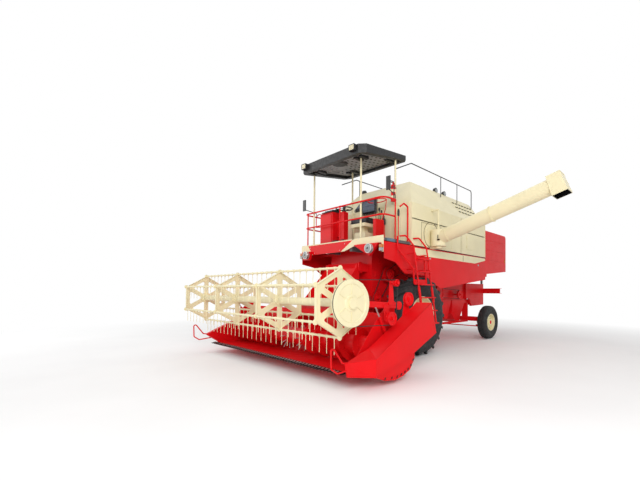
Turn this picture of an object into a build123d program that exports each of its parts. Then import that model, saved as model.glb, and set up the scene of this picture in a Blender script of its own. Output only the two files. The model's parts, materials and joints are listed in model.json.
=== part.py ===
from build123d import *
from math import atan2, cos, degrees, hypot, pi, radians, sin, tan
import os

os.makedirs("parts", exist_ok=True)

# A self-propelled combine harvester with an open operator's platform, in millimetres.
# +Z is up, +X is the machine's left side and the header is at the front, towards -Y.
# The origin is on the ground, midway between the two drive wheels.

# ---- clearances and stock ----
GAP = 0.3           # between faces of different bodies or round faces that don't touch
RUN_FIT = 0.05      # radial, between a shaft and its bore
BITE = 2            # how far a welded piece sinks into what carries it
SHEET = 5           # sheet-steel wall
TUBE_R = 16         # rails and ladder stiles
THIN_TUBE_R = 11    # deck rail
BAR_R = 9           # levers, hooks and light brackets

# ---- drive wheels (front) ----
DRIVE_TYRE_R = 780
DRIVE_TYRE_W = 460
DRIVE_RIM_R = 385
DRIVE_WHEEL_X = 1210
LUGS = 18           # on each half of the tread
LUG_H = 38
LUG_W = 44
LUG_DRAFT = 8       # how much wider a lug is at its foot, on each side
DRIVE_SHOULDER_R = 650
BEAD_IN = 64        # from the tyre's side to its bead
DRIVE_DISH = 60     # the wheel centre's outward offset
BOLTS = 8
BOLT_R = 15

# ---- steered wheels (rear) ----
WHEELBASE = 3350
STEER_TYRE_R = 448
STEER_TYRE_W = 235
STEER_RIM_R = 222
STEER_WHEEL_X = 1205
STEER_DISH = 40
STEER_FLATS = 32
RIM_WALL = 10
HUB_WALL = 45
AXLE_STUB_R = 45
KNUCKLE_X = 1000    # middle of the knuckle's block
KINGPIN_X = 985
KINGPIN_R = 24
EYE_R = 34
KNUCKLE_W = 90
KNUCKLE_H = 180
STEER_BEAM_W = 130
STEER_BEAM_H = 120
TIE_ROD_BACK = 215
TIE_ROD_R = 14
TIE_STUD_R = 10
TIE_ARM_T = 24
AXLE_POST_W = 280
AXLE_POST_T = 120

# ---- threshing body and chassis ----
HOUSE_HALF_W = 620
HOUSE_FRONT_Y = -680
HOUSE_BOTTOM_Z = 1060
HOUSE_TOE = 120     # chamfer under the housing's front
TANK_FLOOR_Z = 2200
RAIL_X = 560        # chassis side rails
RAIL_W = 90
RAIL_H = 160
RAIL_FRONT_Y = -420
CROSS_W = 100
LOW_FRAME_Z = 475
LOW_FRAME_X = 700
LOW_FRAME_W = 50
LOW_FRAME_FRONT_Y = 1025
DRAWBAR_PIN_R = 16
DRAWBAR_W = 220
DRAWBAR_T = 30

# ---- drive axle ----
GEARBOX = (260, 230, 190)   # half width, half length, depth below the axle line
AXLE_TUBE_R = 95
CASE_X = 700
CASE_HALF_L = 190
CASE_DROP = 170

# ---- grain tank and engine bay ----
TANK_HALF_W = 1250
TANK_FRONT_Y = -200
SHOULDER_Z = 3060
RIDGE_INSET = 490
RIDGE_FRONT_Y = 380
RIDGE_Z = 3700
TANK_RIM = 60
TANK_SEAM_Z = 2740
SEAM_W = 24
SEAM_T = 4
ENGINE_W = 700
ENGINE_L = 900
ENGINE_H = 850
LOUVRE_COUNT = 7
LOUVRE_PITCH = 150
LOUVRE_L = 105
LOUVRE_OUT = 16
LOUVRE_ROWS = (0.35, 0.55, 0.75)   # shares of the slope's height

# ---- side panels under the tank ----
PANEL_FRONT_Y = -1020
PANEL_ARCH_Z = 1610
PANEL_LOW_Y = 860
PANEL_LOW_Z = 1340
PANEL_REAR_Z = 1600
HANGER_HALF = 20

# ---- straw hood, walkers and shoe ----
HOOD_INSET = 100
HOOD_L = 1620
HOOD_TOP_Z = 2970
HOOD_BOTTOM_Z = 1890
HOOD_FRONT_BOTTOM_Z = 1640
HOOD_CORNER_R = 90
HOOD_RIBS_Z = (2180, 2460, 2740)
RIB_H = 30
RIB_T = 8
WALKERS = 5
WALKER_GAP = 20
WALKER_Z = 1720
WALKER_H = 100
BEARER_W = 50
SHOE_L = 1080
SHOE_TOP_Z = 1510
SHOE_FLOOR_Z = 1240
SHOE_LOW_Z = 870
SHOE_REAR_LOW_Z = 895
SHOE_WALL = 60
BEAM_HALF_L = 1200
BEAM_H = 150
BEAM_W = 120
BEAM_WALL = 10
BEAM_Z = 1305

# ---- platform ----
DECK_INSET = 18
DECK_FRONT_Y = -1026
DECK_Z = 2250
DECK_THICK = 50
BAND_TOP_Z = 2290
PANEL_CORNER_Z = 1985
PANEL_CORNER_W = 50
PANEL_MID_Z = 2062
LAMP_X = 965
LAMP_Z = 2058
LAMP_R = 78
LAMP_DEPTH = 60
POD_DEPTH = 60
RAIL_TOP_Z = 3010
RAIL_MID_Z = 2690
RAIL_INSET = 25
RAIL_BEND = 120
CONSOLE = (-750, -370, -870, -640, 2980)          # x0, x1, y0, y1, top
COLUMN_X = -190
COLUMN_Y = -700
COLUMN_HALF = 62
COLUMN_TOP_Z = 2970
STEERING_SHAFT_R = 14
WHEEL_HUB_Z = 3050
WHEEL_R = 175
WHEEL_GRIP_R = 13
WHEEL_FLATS = 28
SEAT_X = 215
SEAT_Y = -500
SEAT_Z = 2680
SEAT_W = 460
SEAT_L = 400
CUSHION_T = 120
SEAT_BACK_Z = (2930, 3260)
WALL_PAD = (-390, -20, 3070, 3370)                # x0, x1, z0, z1
PAD_T = 65
LEVERS = (
    # x, y, top z
    (620, -330, 2850),
    (1100, -430, 2880),
    (560, -230, 2800),
)

# ---- canopy ----
CANOPY_HALF_W = 955
CANOPY_FRONT_Y = -1298
CANOPY_REAR_Y = 93
CANOPY_LOW_Z = (3805, 4030)     # underside at the front and rear edges
CANOPY_TOP_Z = (3975, 4115)
CANOPY_CORNER = 110
CROWN_HALF_W = 640
CROWN_H = 70
POCKET_INSET = 120
POCKET_DEPTH = 60
POST_R = 19
CANOPY_POSTS = (
    # x, y
    (-930, -936),
    (560, -936),
    (-420, -240),
    (860, -240),
)
ROOF_LAMPS_X = (-750, 733)
BOTTLE_R = 48
BOTTLE_Z = (3100, 3440, 3500)

# ---- deck rail over the tank ----
DECK_RAIL_X = 860
DECK_RAIL_TOP_Z = 4060
DECK_RAIL_POSTS = (1490, 2270)
DECK_RAIL_RISE_Y = 300

# ---- ladder ----
LADDER_Y = (-330, 100)
LADDER_TOP_OUT = 190        # beyond the drive wheel's middle
LADDER_FOOT_OUT = 430
LADDER_TOP_Z = 2150
LADDER_FOOT_Z = 640
LADDER_STEPS_Z = (660, 900, 1150, 1400, 1650, 1900)
SOCKET_R = 25
STIRRUP_OUT = 260
STIRRUP_Z = 1410

# ---- unloading screw ----
UNLOADER_OUT = 180          # pivot, beyond the tank's side
UNLOADER_Y = 500
UNLOADER_Z = 2385
UNLOADER_R = 140
UNLOADER_L = 2500
UNLOADER_SLOPE = 16.4       # degrees above level
UNLOADER_DRUM_R = 160
UNLOADER_DRUM_H = 340
UNLOADER_PIN_R = 30
UNLOADER_ROD_R = 18
SPOUT_L = 210
FLANGE_T = 14

# ---- feeder house: carries the header, lifts about its upper shaft ----
LIFT_Y = -850
LIFT_Z = 1740
FEEDER_HALF_W = 470
FEEDER_FRONT_Y = -1731
FEEDER_TOP_FRONT_Z = 865
FEEDER_BOTTOM_FRONT_Z = 330
FEEDER_BOTTOM_REAR_Z = 1150
LIFT_BOSS_R = 110
LIFT_BOSS_T = 30
LIFT_PIN_R = 35
EAR_T = 30

# ---- lift rams under the feeder ----
LIFT_CYL_X = 330
LIFT_BASE = (-330, 700)     # y, z
LIFT_EYE = (-1250, 690)
LIFT_BARREL_R = 45
LIFT_ROD_R = 25
LIFT_BASE_PIN_R = 20
LIFT_EYE_PIN_R = 15
LIFT_EYE_PLAY = 12
LIFT_HEAD_R = 38
LIFT_LUG_T = 14

# ---- header ----
HEADER_HALF_W = 2033
CUTTER_Y = -2560
CUTTER_Z = 200
BACK_WALL_Y = -1736
BACK_WALL_TOP_Z = 930
SCREW_Y = -2020
SCREW_Z = 455
SCREW_FLIGHT_R = 255
SCREW_DRUM_R = 150
SCREW_SHAFT_R = 25
SCREW_PITCH = 300
SCREW_STEPS = 14            # flats in one turn of a flight
FLIGHT_T = 6
TROUGH_R = 284
HEADER_END_T = 8
BACK_RIB_PITCH = 340
GUARD_PITCH = 76.2
DIVIDER_T = 90
HOOP_R = 11

# ---- cover and divider outside the header's left end ----
COVER_GAP = 77              # from the header's inner side to the cover
COVER_W = 290
COVER_RIDGE = (-2458, 404)  # y, z
COVER_REAR_TOP = (-1207, 1096)
COVER_REAR_LOW = (-1079, 624)
COVER_LOW_Z = 169
NOSE_Y = -2790
NOSE_Z = 365
BACK_PULLEY = (-1490, 1149)
BACK_PULLEY_R = 104

# ---- reel ----
REEL_Y = -2790
REEL_Z = 1117
REEL_R = 440                # to the centres of the tine bars
REEL_TUBE_R = 55
REEL_SHAFT_R = 30
SPIDER_OUT = 46             # beyond the header's inner side
SPIDER_T = 10
SPIDER_LUG_R = 34
SPIDER_RIM_W = 40
SPIDER_RIM_T = 7
WINDOW_AT = 235
WINDOW_R = 155
WINDOW_CORNER_R = 22
TINE_BAR_R = 15
TINE_L = 225
TINE_R = 4
TINE_PITCH = 152
DISC_OUT = 120              # beyond the arm
DISC_R = 294
ARM_OUT = 132               # beyond the header's inner side
ARM_PIVOT_Z = 1060
ARM_W = 45
ARM_H = 80
ARM_TUBE_R = 38
BELT_T = 9
BELT_W = 14
GROOVE = 12                 # how deep a belt's groove is
REEL_IDLER = (-1930, 1385, 50)      # y, z, radius
REEL_HOOK = (-2030, 890, 95)

# ---- reel rams ----
REEL_CYL_OUT = 43
REEL_CYL_BASE = (-1900, 640)
REEL_CYL_EYE = (-2150, 1082)
REEL_BARREL_R = 24
REEL_ROD_R = 12
REEL_BASE_PIN_R = 10
REEL_EYE_PIN_R = 8
EYE_PLAY = 6

# ---- belt drives on the housing's sides ----
PULLEY_W = 44
DRIVE_SHAFT_R = 22
BELT_DRIVES = (
    # x, then (y, z, radius) of each pulley; right is True where the right side has it too
    (700, ((-600, 1140, 110), (-280, 1620, 160)), True),
    (762, ((-280, 1620, 110), (20, 1760, 130)), True),
    (824, ((20, 1760, 90), (1500, 1250, 180)), False),
    (762, ((1500, 1250, 120), (2600, 1200, 120)), False),
)
TROUGHS = (
    # (y behind the house's rear, z) points of each cross screw's trough
    ((-1350, 1060), (-800, 1060), (-980, 600), (-1050, 560), (-1120, 600)),
    ((-740, 1060), (-40, 1060), (-380, 500), (-500, 460), (-650, 550), (-770, 700)),
)
ELEVATOR_W = 150
ELEVATOR_HALF_T = 105
ELEVATOR = ((-1040, 620), (-1760, 2200))   # (y behind the house's rear, z) of its foot and head

# ---- derived places ----
RAIL_TOP = HOUSE_BOTTOM_Z
RAIL_BOTTOM = RAIL_TOP - RAIL_H
HOUSE_REAR_Y = WHEELBASE - 250
TANK_REAR_Y = HOUSE_REAR_Y - 1300
BAY_REAR_Y = HOUSE_REAR_Y
RAIL_REAR_Y = WHEELBASE + 800
HOOD_REAR_Y = HOUSE_REAR_Y + HOOD_L
SHOE_REAR_Y = HOUSE_REAR_Y + SHOE_L
DRAWBAR_Y = RAIL_REAR_Y + 130
DRAWBAR_Z = RAIL_BOTTOM + RAIL_H / 2
TIE_ROD_Y = WHEELBASE - TIE_ROD_BACK
TIE_ROD_Z = STEER_TYRE_R - KNUCKLE_H / 2
RIDGE_HALF_W = TANK_HALF_W - RIDGE_INSET
HOOD_HALF_W = TANK_HALF_W - HOOD_INSET
DECK_HALF_W = TANK_HALF_W - DECK_INSET
UNLOADER_X = TANK_HALF_W + UNLOADER_OUT
LADDER_TOP_X = DRIVE_WHEEL_X + LADDER_TOP_OUT
LADDER_FOOT_X = DRIVE_WHEEL_X + LADDER_FOOT_OUT
STIRRUP_X = DRIVE_WHEEL_X + STIRRUP_OUT
EAR_X = FEEDER_HALF_W + 12
LIFT_LUG_X = LIFT_CYL_X + 32
HEADER_OUT_X = HEADER_HALF_W + HEADER_END_T
COVER_IN_X = HEADER_HALF_W + COVER_GAP
COVER_OUT_X = COVER_IN_X + COVER_W
NOSE_X = COVER_IN_X + 60
SPIDER_X = HEADER_HALF_W + SPIDER_OUT
ARM_X = HEADER_HALF_W + ARM_OUT
DISC_X = ARM_X + DISC_OUT
ARM_PIVOT_Y = BACK_WALL_Y
REEL_CYL_X = HEADER_HALF_W + REEL_CYL_OUT


# ---------------------------------------------------------------- helpers
def box(x0, x1, y0, y1, z0, z1):
    """A block between two opposite corners."""
    return Pos((x0 + x1) / 2, (y0 + y1) / 2, (z0 + z1) / 2) * Box(abs(x1 - x0), abs(y1 - y0), abs(z1 - z0))


def prism_x(points, x0, x1):
    """An outline of (y, z) points made solid from x0 to x1."""
    face = Plane.YZ.offset(x0) * make_face(Polyline(*points, close=True))
    return extrude(face, amount=x1 - x0)


def prism_y(points, y0, y1):
    """An outline of (x, z) points made solid from y0 to y1."""
    face = Plane.XZ.offset(-y0) * make_face(Polyline(*points, close=True))
    return extrude(face, amount=y0 - y1)


def cylinder_x(x0, x1, y, z, r):
    return Pos((x0 + x1) / 2, y, z) * Rot(0, 90, 0) * Cylinder(r, abs(x1 - x0))


def cylinder_y(y0, y1, x, z, r):
    return Pos(x, (y0 + y1) / 2, z) * Rot(90, 0, 0) * Cylinder(r, abs(y1 - y0))


def cylinder_z(z0, z1, x, y, r):
    return Pos(x, y, (z0 + z1) / 2) * Cylinder(r, abs(z1 - z0))


def between(a, b, r):
    """A round bar from point a to point b."""
    a, b = Vector(*a), Vector(*b)
    return Solid.make_cylinder(r, (b - a).length, Plane(a, z_dir=b - a))


def bent(points, r, bend):
    """A round bar along points, its corners bent to the radius bend."""
    path = FilletPolyline(*points, radius=bend)
    start = Plane(path @ 0, z_dir=path % 0)
    return sweep(start * Circle(r), path=path)


def turned_x(points):
    """A ring turned about the X axis from an outline of (x, r) points."""
    return revolve(Plane.XZ * make_face(Polyline(*points, close=True)), Axis.X, 360)


def faceted(corners, faces):
    """A solid with flat faces: corners by name, and each face as a list of those names."""
    shell = Shell([Face(Wire.make_polygon([corners[n] for n in face], close=True)) for face in faces])
    return Solid(shell)


def halves(quad):
    """A four-cornered face as two triangles."""
    a, b, c, d = quad
    return [[a, b, c], [a, c, d]]


def mirrored(shape):
    """The shape and its mirror image across the machine's middle plane."""
    return shape + shape.mirror(Plane.YZ)


def fused(shapes):
    whole = shapes[0]
    return whole.fuse(*shapes[1:]) if len(shapes) > 1 else whole


def pieces(*shapes):
    """Separate solids for one node."""
    return Compound(children=[solid for shape in shapes for solid in shape.solids()])


def save(name, shape):
    solids = shape.solids()
    export_step(solids[0] if len(solids) == 1 else Compound(children=list(solids)), f"parts/{name}.step")


def along(a, b, share):
    return tuple(p + (q - p) * share for p, q in zip(a, b))


# ---------------------------------------------------------------- tyres and wheels
def flat_ring(profile, flats):
    """A ring about the X axis with flat faces, from a closed outline of (x, r) points."""
    corners = {}
    for k, (x, r) in enumerate(profile):
        for a in range(flats):
            turn = 2 * pi * a / flats
            corners[k, a] = (x, r * sin(turn), r * cos(turn))
    faces = []
    for k in range(len(profile)):
        for a in range(flats):
            k2, a2 = (k + 1) % len(profile), (a + 1) % flats
            faces += halves([(k, a), (k2, a), (k2, a2), (k, a2)])
    return faceted(corners, faces)


def drive_tyre():
    """The lugged drive tyre about the X axis: a round carcass with slanting lugs, the two halves out of step.

    Across each half there are four stations. In one lug's share of a station there are six columns: the foot,
    top, top and foot of the lug, and the two places that face the feet of the other half's lug.
    """
    floor_r = DRIVE_TYRE_R - LUG_H
    half = DRIVE_TYRE_W / 2
    pitch = 2 * pi / LUGS
    foot, top = (LUG_W / 2 + LUG_DRAFT) / floor_r, LUG_W / 2 / floor_r
    stations = (
        # x, floor radius, lug top radius, how far the lug has slanted back
        (0, floor_r, DRIVE_TYRE_R, 0),
        (half - 120, floor_r - 4, DRIVE_TYRE_R, 95),
        (half - 34, floor_r - 26, DRIVE_TYRE_R - 6, 150),
        (half - 4, DRIVE_SHOULDER_R, DRIVE_SHOULDER_R, 165),
    )
    walls = ((half, 590), (half - 16, 470), (half - BEAD_IN, DRIVE_RIM_R / cos(pitch / 4) + GAP))
    last, ring = 6 * LUGS, 2 * LUGS
    spots, faces = {}, []
    for end in (1, -1):
        shift = 0 if end > 0 else 1
        for k, (x, low, high, back) in enumerate(stations):
            near = top if high > low else foot
            for n in range(LUGS):
                middle = pitch * (n + shift / 2) + back / floor_r
                facing = middle + pitch / 2
                columns = ((middle - foot, low), (middle - near, high), (middle + near, high), (middle + foot, low),
                           (facing - foot, low), (facing + foot, low))
                for c, (turn, r) in enumerate(columns):
                    spots[end, k, 6 * n + c] = (end * x, r * sin(turn), r * cos(turn))
        for w, (x, r) in enumerate(walls):
            for i in range(ring):
                turn = pitch / 2 * i + stations[-1][3] / floor_r
                spots[end, "wall", w, i] = (end * x, r * sin(turn), r * cos(turn))
        for k in range(3):
            for c in range(last):
                faces += halves([(end, k, c), (end, k + 1, c), (end, k + 1, (c + 1) % last), (end, k, (c + 1) % last)])
        for n in range(LUGS):
            faces += halves([(end, 0, 6 * n + c) for c in (0, 1, 2, 3)])
            for j, (left, right, after) in enumerate(((0, 3, 4), (4, 5, 6))):
                i = 2 * n + j + shift
                this, following = (end, "wall", 0, i % ring), (end, "wall", 0, (i + 1) % ring)
                left, right, after = ((end, 3, (6 * n + c) % last) for c in (left, right, after))
                faces += [[left, this, right]] + halves([right, this, following, after])
        for w in range(2):
            for i in range(ring):
                i2 = (i + 1) % ring
                faces += halves([(end, "wall", w, i), (end, "wall", w + 1, i), (end, "wall", w + 1, i2), (end, "wall", w, i2)])
    for i in range(ring):
        i2 = (i + 1) % ring
        faces += halves([(1, "wall", 2, i), (-1, "wall", 2, i), (-1, "wall", 2, i2), (1, "wall", 2, i2)])
    return faceted(spots, [face for face in faces if len({spots[n] for n in face}) == 3])


def steer_tyre():
    """The ribbed tyre of a steered wheel, its tread in three ribs."""
    h, r = STEER_TYRE_W / 2, STEER_TYRE_R
    bead = STEER_RIM_R / cos(pi / STEER_FLATS) + GAP
    side = [(0.72 * h, bead), (h, 345), (0.94 * h, 412), (0.72 * h, r - 8), (0.36 * h, r), (0.31 * h, r - 10),
            (0.24 * h, r - 10), (0.19 * h, r)]
    return flat_ring([(-x, y) for x, y in side] + side[::-1], STEER_FLATS)


def rim(r, bead_x, bore_r, dish):
    """A wheel rim with lips outside the tyre's beads, its dished centre, hub and bolts; bored for its stub axle."""
    lip_in, lip_out = bead_x + 4, bead_x + 16
    inner = r - RIM_WALL
    barrel = turned_x([(-lip_out, inner), (-lip_out, r + 5), (-lip_in, r + 5), (-lip_in, r), (lip_in, r),
                       (lip_in, r + 5), (lip_out, r + 5), (lip_out, inner)])
    centre = turned_x([(dish - RIM_WALL, bore_r), (dish - RIM_WALL, 0.60 * r), (dish - 50, 0.82 * r),
                       (dish - 50, inner + 1), (dish - 40, inner + 1), (dish - 40, 0.83 * r),
                       (dish, 0.62 * r), (dish, bore_r)])
    hub = turned_x([(dish - 70, bore_r), (dish - 70, bore_r + HUB_WALL), (dish + 40, bore_r + HUB_WALL), (dish + 40, bore_r)])
    turns = [2 * pi * n / BOLTS for n in range(BOLTS)]
    bolts = [cylinder_x(dish - 5, dish + 16, 0.5 * r * sin(a), 0.5 * r * cos(a), BOLT_R) for a in turns]
    return fused([barrel, centre, hub] + bolts)


def drive_wheels():
    place = Pos(DRIVE_WHEEL_X, 0, DRIVE_TYRE_R)
    tyre = place * drive_tyre()
    wheel = place * rim(DRIVE_RIM_R, DRIVE_TYRE_W / 2 - BEAD_IN, AXLE_STUB_R + RUN_FIT, DRIVE_DISH)
    save("drive_tyre_left", tyre)
    save("drive_tyre_right", tyre.mirror(Plane.YZ))
    save("drive_rim_left", wheel)
    save("drive_rim_right", wheel.mirror(Plane.YZ))


def steered_wheels():
    place = Pos(STEER_WHEEL_X, WHEELBASE, STEER_TYRE_R)
    tyre = place * steer_tyre()
    wheel = place * rim(STEER_RIM_R, 0.36 * STEER_TYRE_W, AXLE_STUB_R + RUN_FIT, STEER_DISH)
    save("steer_tyre_left", tyre)
    save("steer_tyre_right", tyre.mirror(Plane.YZ))
    save("steer_rim_left", wheel)
    save("steer_rim_right", wheel.mirror(Plane.YZ))


# ---------------------------------------------------------------- steering and axles
def knuckles():
    """Each knuckle forks round the beam's end on its kingpin, and carries the wheel's stub axle."""
    half = KNUCKLE_W / 2
    block = box(KNUCKLE_X - half, KNUCKLE_X + half, WHEELBASE - half, WHEELBASE + half,
                STEER_TYRE_R - KNUCKLE_H / 2, STEER_TYRE_R + KNUCKLE_H / 2)
    slot_h = STEER_BEAM_H * 0.6 + 2
    block -= box(KNUCKLE_X - half - 1, KINGPIN_X + EYE_R + 6, WHEELBASE - half - 1, WHEELBASE + half + 1,
                 STEER_TYRE_R - slot_h / 2, STEER_TYRE_R + slot_h / 2)
    block -= cylinder_z(0, 2 * STEER_TYRE_R, KINGPIN_X, WHEELBASE, KINGPIN_R + RUN_FIT)
    stub = cylinder_x(KNUCKLE_X + 40, STEER_WHEEL_X + STEER_DISH + 38, WHEELBASE, STEER_TYRE_R, AXLE_STUB_R)
    arm = box(KINGPIN_X - 20, KINGPIN_X + 20, TIE_ROD_Y - 25, WHEELBASE - 40, TIE_ROD_Z, TIE_ROD_Z + TIE_ARM_T)
    arm -= cylinder_z(TIE_ROD_Z - 1, TIE_ROD_Z + TIE_ARM_T + 1, KINGPIN_X, TIE_ROD_Y, TIE_STUD_R + RUN_FIT)
    left = block + stub + arm
    save("knuckle_left", left)
    save("knuckle_right", left.mirror(Plane.YZ))


def tie_rod():
    """A bar across the machine under the two steering arms, with a stud up into each."""
    bar_z = TIE_ROD_Z - TIE_ROD_R - 5
    bar = cylinder_x(-KINGPIN_X - 20, KINGPIN_X + 20, TIE_ROD_Y, bar_z, TIE_ROD_R)
    stud = cylinder_z(bar_z, TIE_ROD_Z + TIE_ARM_T - 2, KINGPIN_X, TIE_ROD_Y, TIE_STUD_R)
    save("tie_rod", bar + mirrored(stud))


def steer_axle():
    """The rear beam with its end eyes and kingpins, hung on a post from the chassis."""
    half_w, half_post = STEER_BEAM_W / 2, AXLE_POST_T / 2
    beam = box(-KNUCKLE_X + 75, KNUCKLE_X - 75, WHEELBASE - half_w, WHEELBASE + half_w,
               STEER_TYRE_R + 10, STEER_TYRE_R + 10 + STEER_BEAM_H)
    eye_low, eye_high = STEER_TYRE_R - STEER_BEAM_H * 0.3, STEER_TYRE_R + STEER_BEAM_H * 0.3
    eye = box(KNUCKLE_X - 100, KINGPIN_X, WHEELBASE - EYE_R, WHEELBASE + EYE_R, eye_low, eye_high)
    eye += cylinder_z(eye_low, eye_high, KINGPIN_X, WHEELBASE, EYE_R)
    pin = cylinder_z(STEER_TYRE_R - KNUCKLE_H / 2 + 2, STEER_TYRE_R + KNUCKLE_H / 2 - 2, KINGPIN_X, WHEELBASE, KINGPIN_R)
    post = box(-AXLE_POST_W / 2, AXLE_POST_W / 2, WHEELBASE - half_post, WHEELBASE + half_post,
               STEER_TYRE_R + STEER_BEAM_H / 2, RAIL_BOTTOM)
    gusset = prism_y([(AXLE_POST_W / 2, RAIL_BOTTOM - 85), (AXLE_POST_W / 2, STEER_TYRE_R + STEER_BEAM_H),
                      (AXLE_POST_W / 2 + 180, STEER_TYRE_R + STEER_BEAM_H)], WHEELBASE - 12, WHEELBASE + 12)
    cross = box(-RAIL_X, RAIL_X, WHEELBASE - half_post, WHEELBASE + half_post, RAIL_BOTTOM - 90, RAIL_BOTTOM)
    save("steer_axle", beam + mirrored(eye + pin + gusset) + post + cross)


def drive_axle():
    """The front axle: gearbox, tubes and the final-drive cases whose shafts carry the wheels."""
    half_w, half_l, drop = GEARBOX
    gearbox = box(-half_w, half_w, -half_l, half_l, DRIVE_TYRE_R - drop, RAIL_BOTTOM)
    tube = cylinder_x(-CASE_X, CASE_X, 0, DRIVE_TYRE_R, AXLE_TUBE_R)
    case = box(CASE_X - 60, CASE_X + 130, -CASE_HALF_L, CASE_HALF_L, DRIVE_TYRE_R - CASE_DROP, RAIL_BOTTOM + 60)
    shaft = cylinder_x(CASE_X + 100, DRIVE_WHEEL_X + DRIVE_DISH + 38, 0, DRIVE_TYRE_R, AXLE_STUB_R)
    saddle = box(RAIL_X - RAIL_W / 2, CASE_X - 50, -CASE_HALF_L, CASE_HALF_L, RAIL_BOTTOM - 110, RAIL_BOTTOM)
    y, z = LIFT_BASE
    ear = box(half_w - 10, LIFT_CYL_X - LIFT_BARREL_R, y - 60, -half_l + 50, z - 50, z + 50)
    ram_pin = cylinder_x(half_w, LIFT_CYL_X + LIFT_BARREL_R, y, z, LIFT_BASE_PIN_R)
    save("drive_axle", gearbox + tube + mirrored(case + saddle + shaft + ear + ram_pin))


# ---------------------------------------------------------------- chassis, body and drives
def chassis_frame():
    """Two side rails with cross members, the lower frame bars and the rear drawbar plate."""
    rail = box(RAIL_X - RAIL_W / 2, RAIL_X + RAIL_W / 2, RAIL_FRONT_Y, RAIL_REAR_Y, RAIL_BOTTOM, RAIL_TOP)
    whole = mirrored(rail)
    for y in (RAIL_FRONT_Y + 60, HOUSE_REAR_Y - 1700, HOUSE_REAR_Y + 75, RAIL_REAR_Y - 60):
        whole += box(-RAIL_X, RAIL_X, y - CROSS_W / 2, y + CROSS_W / 2, RAIL_BOTTOM + 10, RAIL_TOP - 10)
    half = LOW_FRAME_W / 2
    low = box(LOW_FRAME_X - half, LOW_FRAME_X + half, LOW_FRAME_FRONT_Y - half, HOUSE_REAR_Y + half,
              LOW_FRAME_Z - half, LOW_FRAME_Z + half)
    for y in (LOW_FRAME_FRONT_Y, HOUSE_REAR_Y):
        low += box(RAIL_X, LOW_FRAME_X + half, y - half, y + half, LOW_FRAME_Z - half, RAIL_BOTTOM + 60)
    drawbar = box(-DRAWBAR_W / 2, DRAWBAR_W / 2, RAIL_REAR_Y - 20, DRAWBAR_Y + 60,
                  DRAWBAR_Z - DRAWBAR_T / 2, DRAWBAR_Z + DRAWBAR_T / 2)
    drawbar -= cylinder_z(DRAWBAR_Z - DRAWBAR_T, DRAWBAR_Z + DRAWBAR_T, 0, DRAWBAR_Y, DRAWBAR_PIN_R)
    save("chassis_frame", whole + mirrored(low) + drawbar)


def thresher_housing():
    """The closed body that holds the threshing drum and the walkers' front ends."""
    side = [(HOUSE_FRONT_Y, HOUSE_BOTTOM_Z + HOUSE_TOE), (HOUSE_FRONT_Y, TANK_FLOOR_Z), (HOUSE_REAR_Y, TANK_FLOOR_Z),
            (HOUSE_REAR_Y, HOUSE_BOTTOM_Z), (HOUSE_FRONT_Y + HOUSE_TOE, HOUSE_BOTTOM_Z)]
    body = prism_x(side, -HOUSE_HALF_W, HOUSE_HALF_W)
    ear = box(EAR_X, EAR_X + EAR_T, LIFT_Y - 80, HOUSE_FRONT_Y + 20, LIFT_Z - 80, LIFT_Z + 80)
    pin = cylinder_x(EAR_X - 40, EAR_X + 10, LIFT_Y, LIFT_Z, LIFT_PIN_R)
    save("thresher_housing", body + mirrored(ear + pin))


def conveyors():
    """The two cross troughs under the body, round the chassis rails, and the grain elevator on the right."""
    half = LOW_FRAME_X - LOW_FRAME_W / 2
    rails = mirrored(box(RAIL_X - RAIL_W / 2, RAIL_X + RAIL_W / 2, RAIL_FRONT_Y, RAIL_REAR_Y, RAIL_BOTTOM, RAIL_TOP))
    troughs = [prism_x([(HOUSE_REAR_Y + y, z) for y, z in points], -half, half) - rails for points in TROUGHS]
    (foot_y, foot_z), (head_y, head_z) = ELEVATOR
    foot_y, head_y = HOUSE_REAR_Y + foot_y, HOUSE_REAR_Y + head_y
    duct = prism_x([(foot_y - ELEVATOR_HALF_T, foot_z), (foot_y + ELEVATOR_HALF_T, foot_z),
                    (head_y + ELEVATOR_HALF_T, head_z), (head_y - ELEVATOR_HALF_T, head_z)], -half - ELEVATOR_W, -half)
    save("conveyors", pieces(*troughs, duct))


def pulley(x, y, z, r):
    """A grooved pulley about the X axis at x, its outer web dished."""
    w, lip = PULLEY_W / 2, BELT_W / 2 + 3
    outline = [(-w, 0), (-w, r), (-lip, r), (1 - lip, r - GROOVE), (lip - 1, r - GROOVE), (lip, r), (w, r),
               (w, 0.82 * r), (w - 12, 0.78 * r), (w - 12, 0.38 * r), (w, 0.34 * r), (w, 0)]
    return Pos(x, y, z) * turned_x(outline)


def belt(x, pulleys):
    """A belt in the grooves of pulleys given as (y, z, radius)."""
    def loop(extra):
        circles = [Pos(y, z) * Circle(r - GROOVE + GAP + extra) for y, z, r in pulleys]
        return make_hull([edge for circle in circles for edge in circle.edges()])
    ring = loop(BELT_T) - loop(0)
    return extrude(Plane.YZ.offset(x - BELT_W / 2) * ring, amount=BELT_W)


def side_drives():
    """The pulleys on the housing's sides, each on its shaft, and their belts."""
    wheels, belts = [], []
    for x, pulleys, both in BELT_DRIVES:
        for y, z, r in pulleys:
            wheel = pulley(x, y, z, r) + cylinder_x(HOUSE_HALF_W, x + PULLEY_W, y, z, DRIVE_SHAFT_R)
            wheels += [wheel] + ([wheel.mirror(Plane.YZ)] if both else [])
        loop = belt(x, pulleys)
        belts += [loop] + ([loop.mirror(Plane.YZ)] if both else [])
    save("side_drives", fused(wheels))
    save("drive_belts", pieces(*belts))


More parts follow.
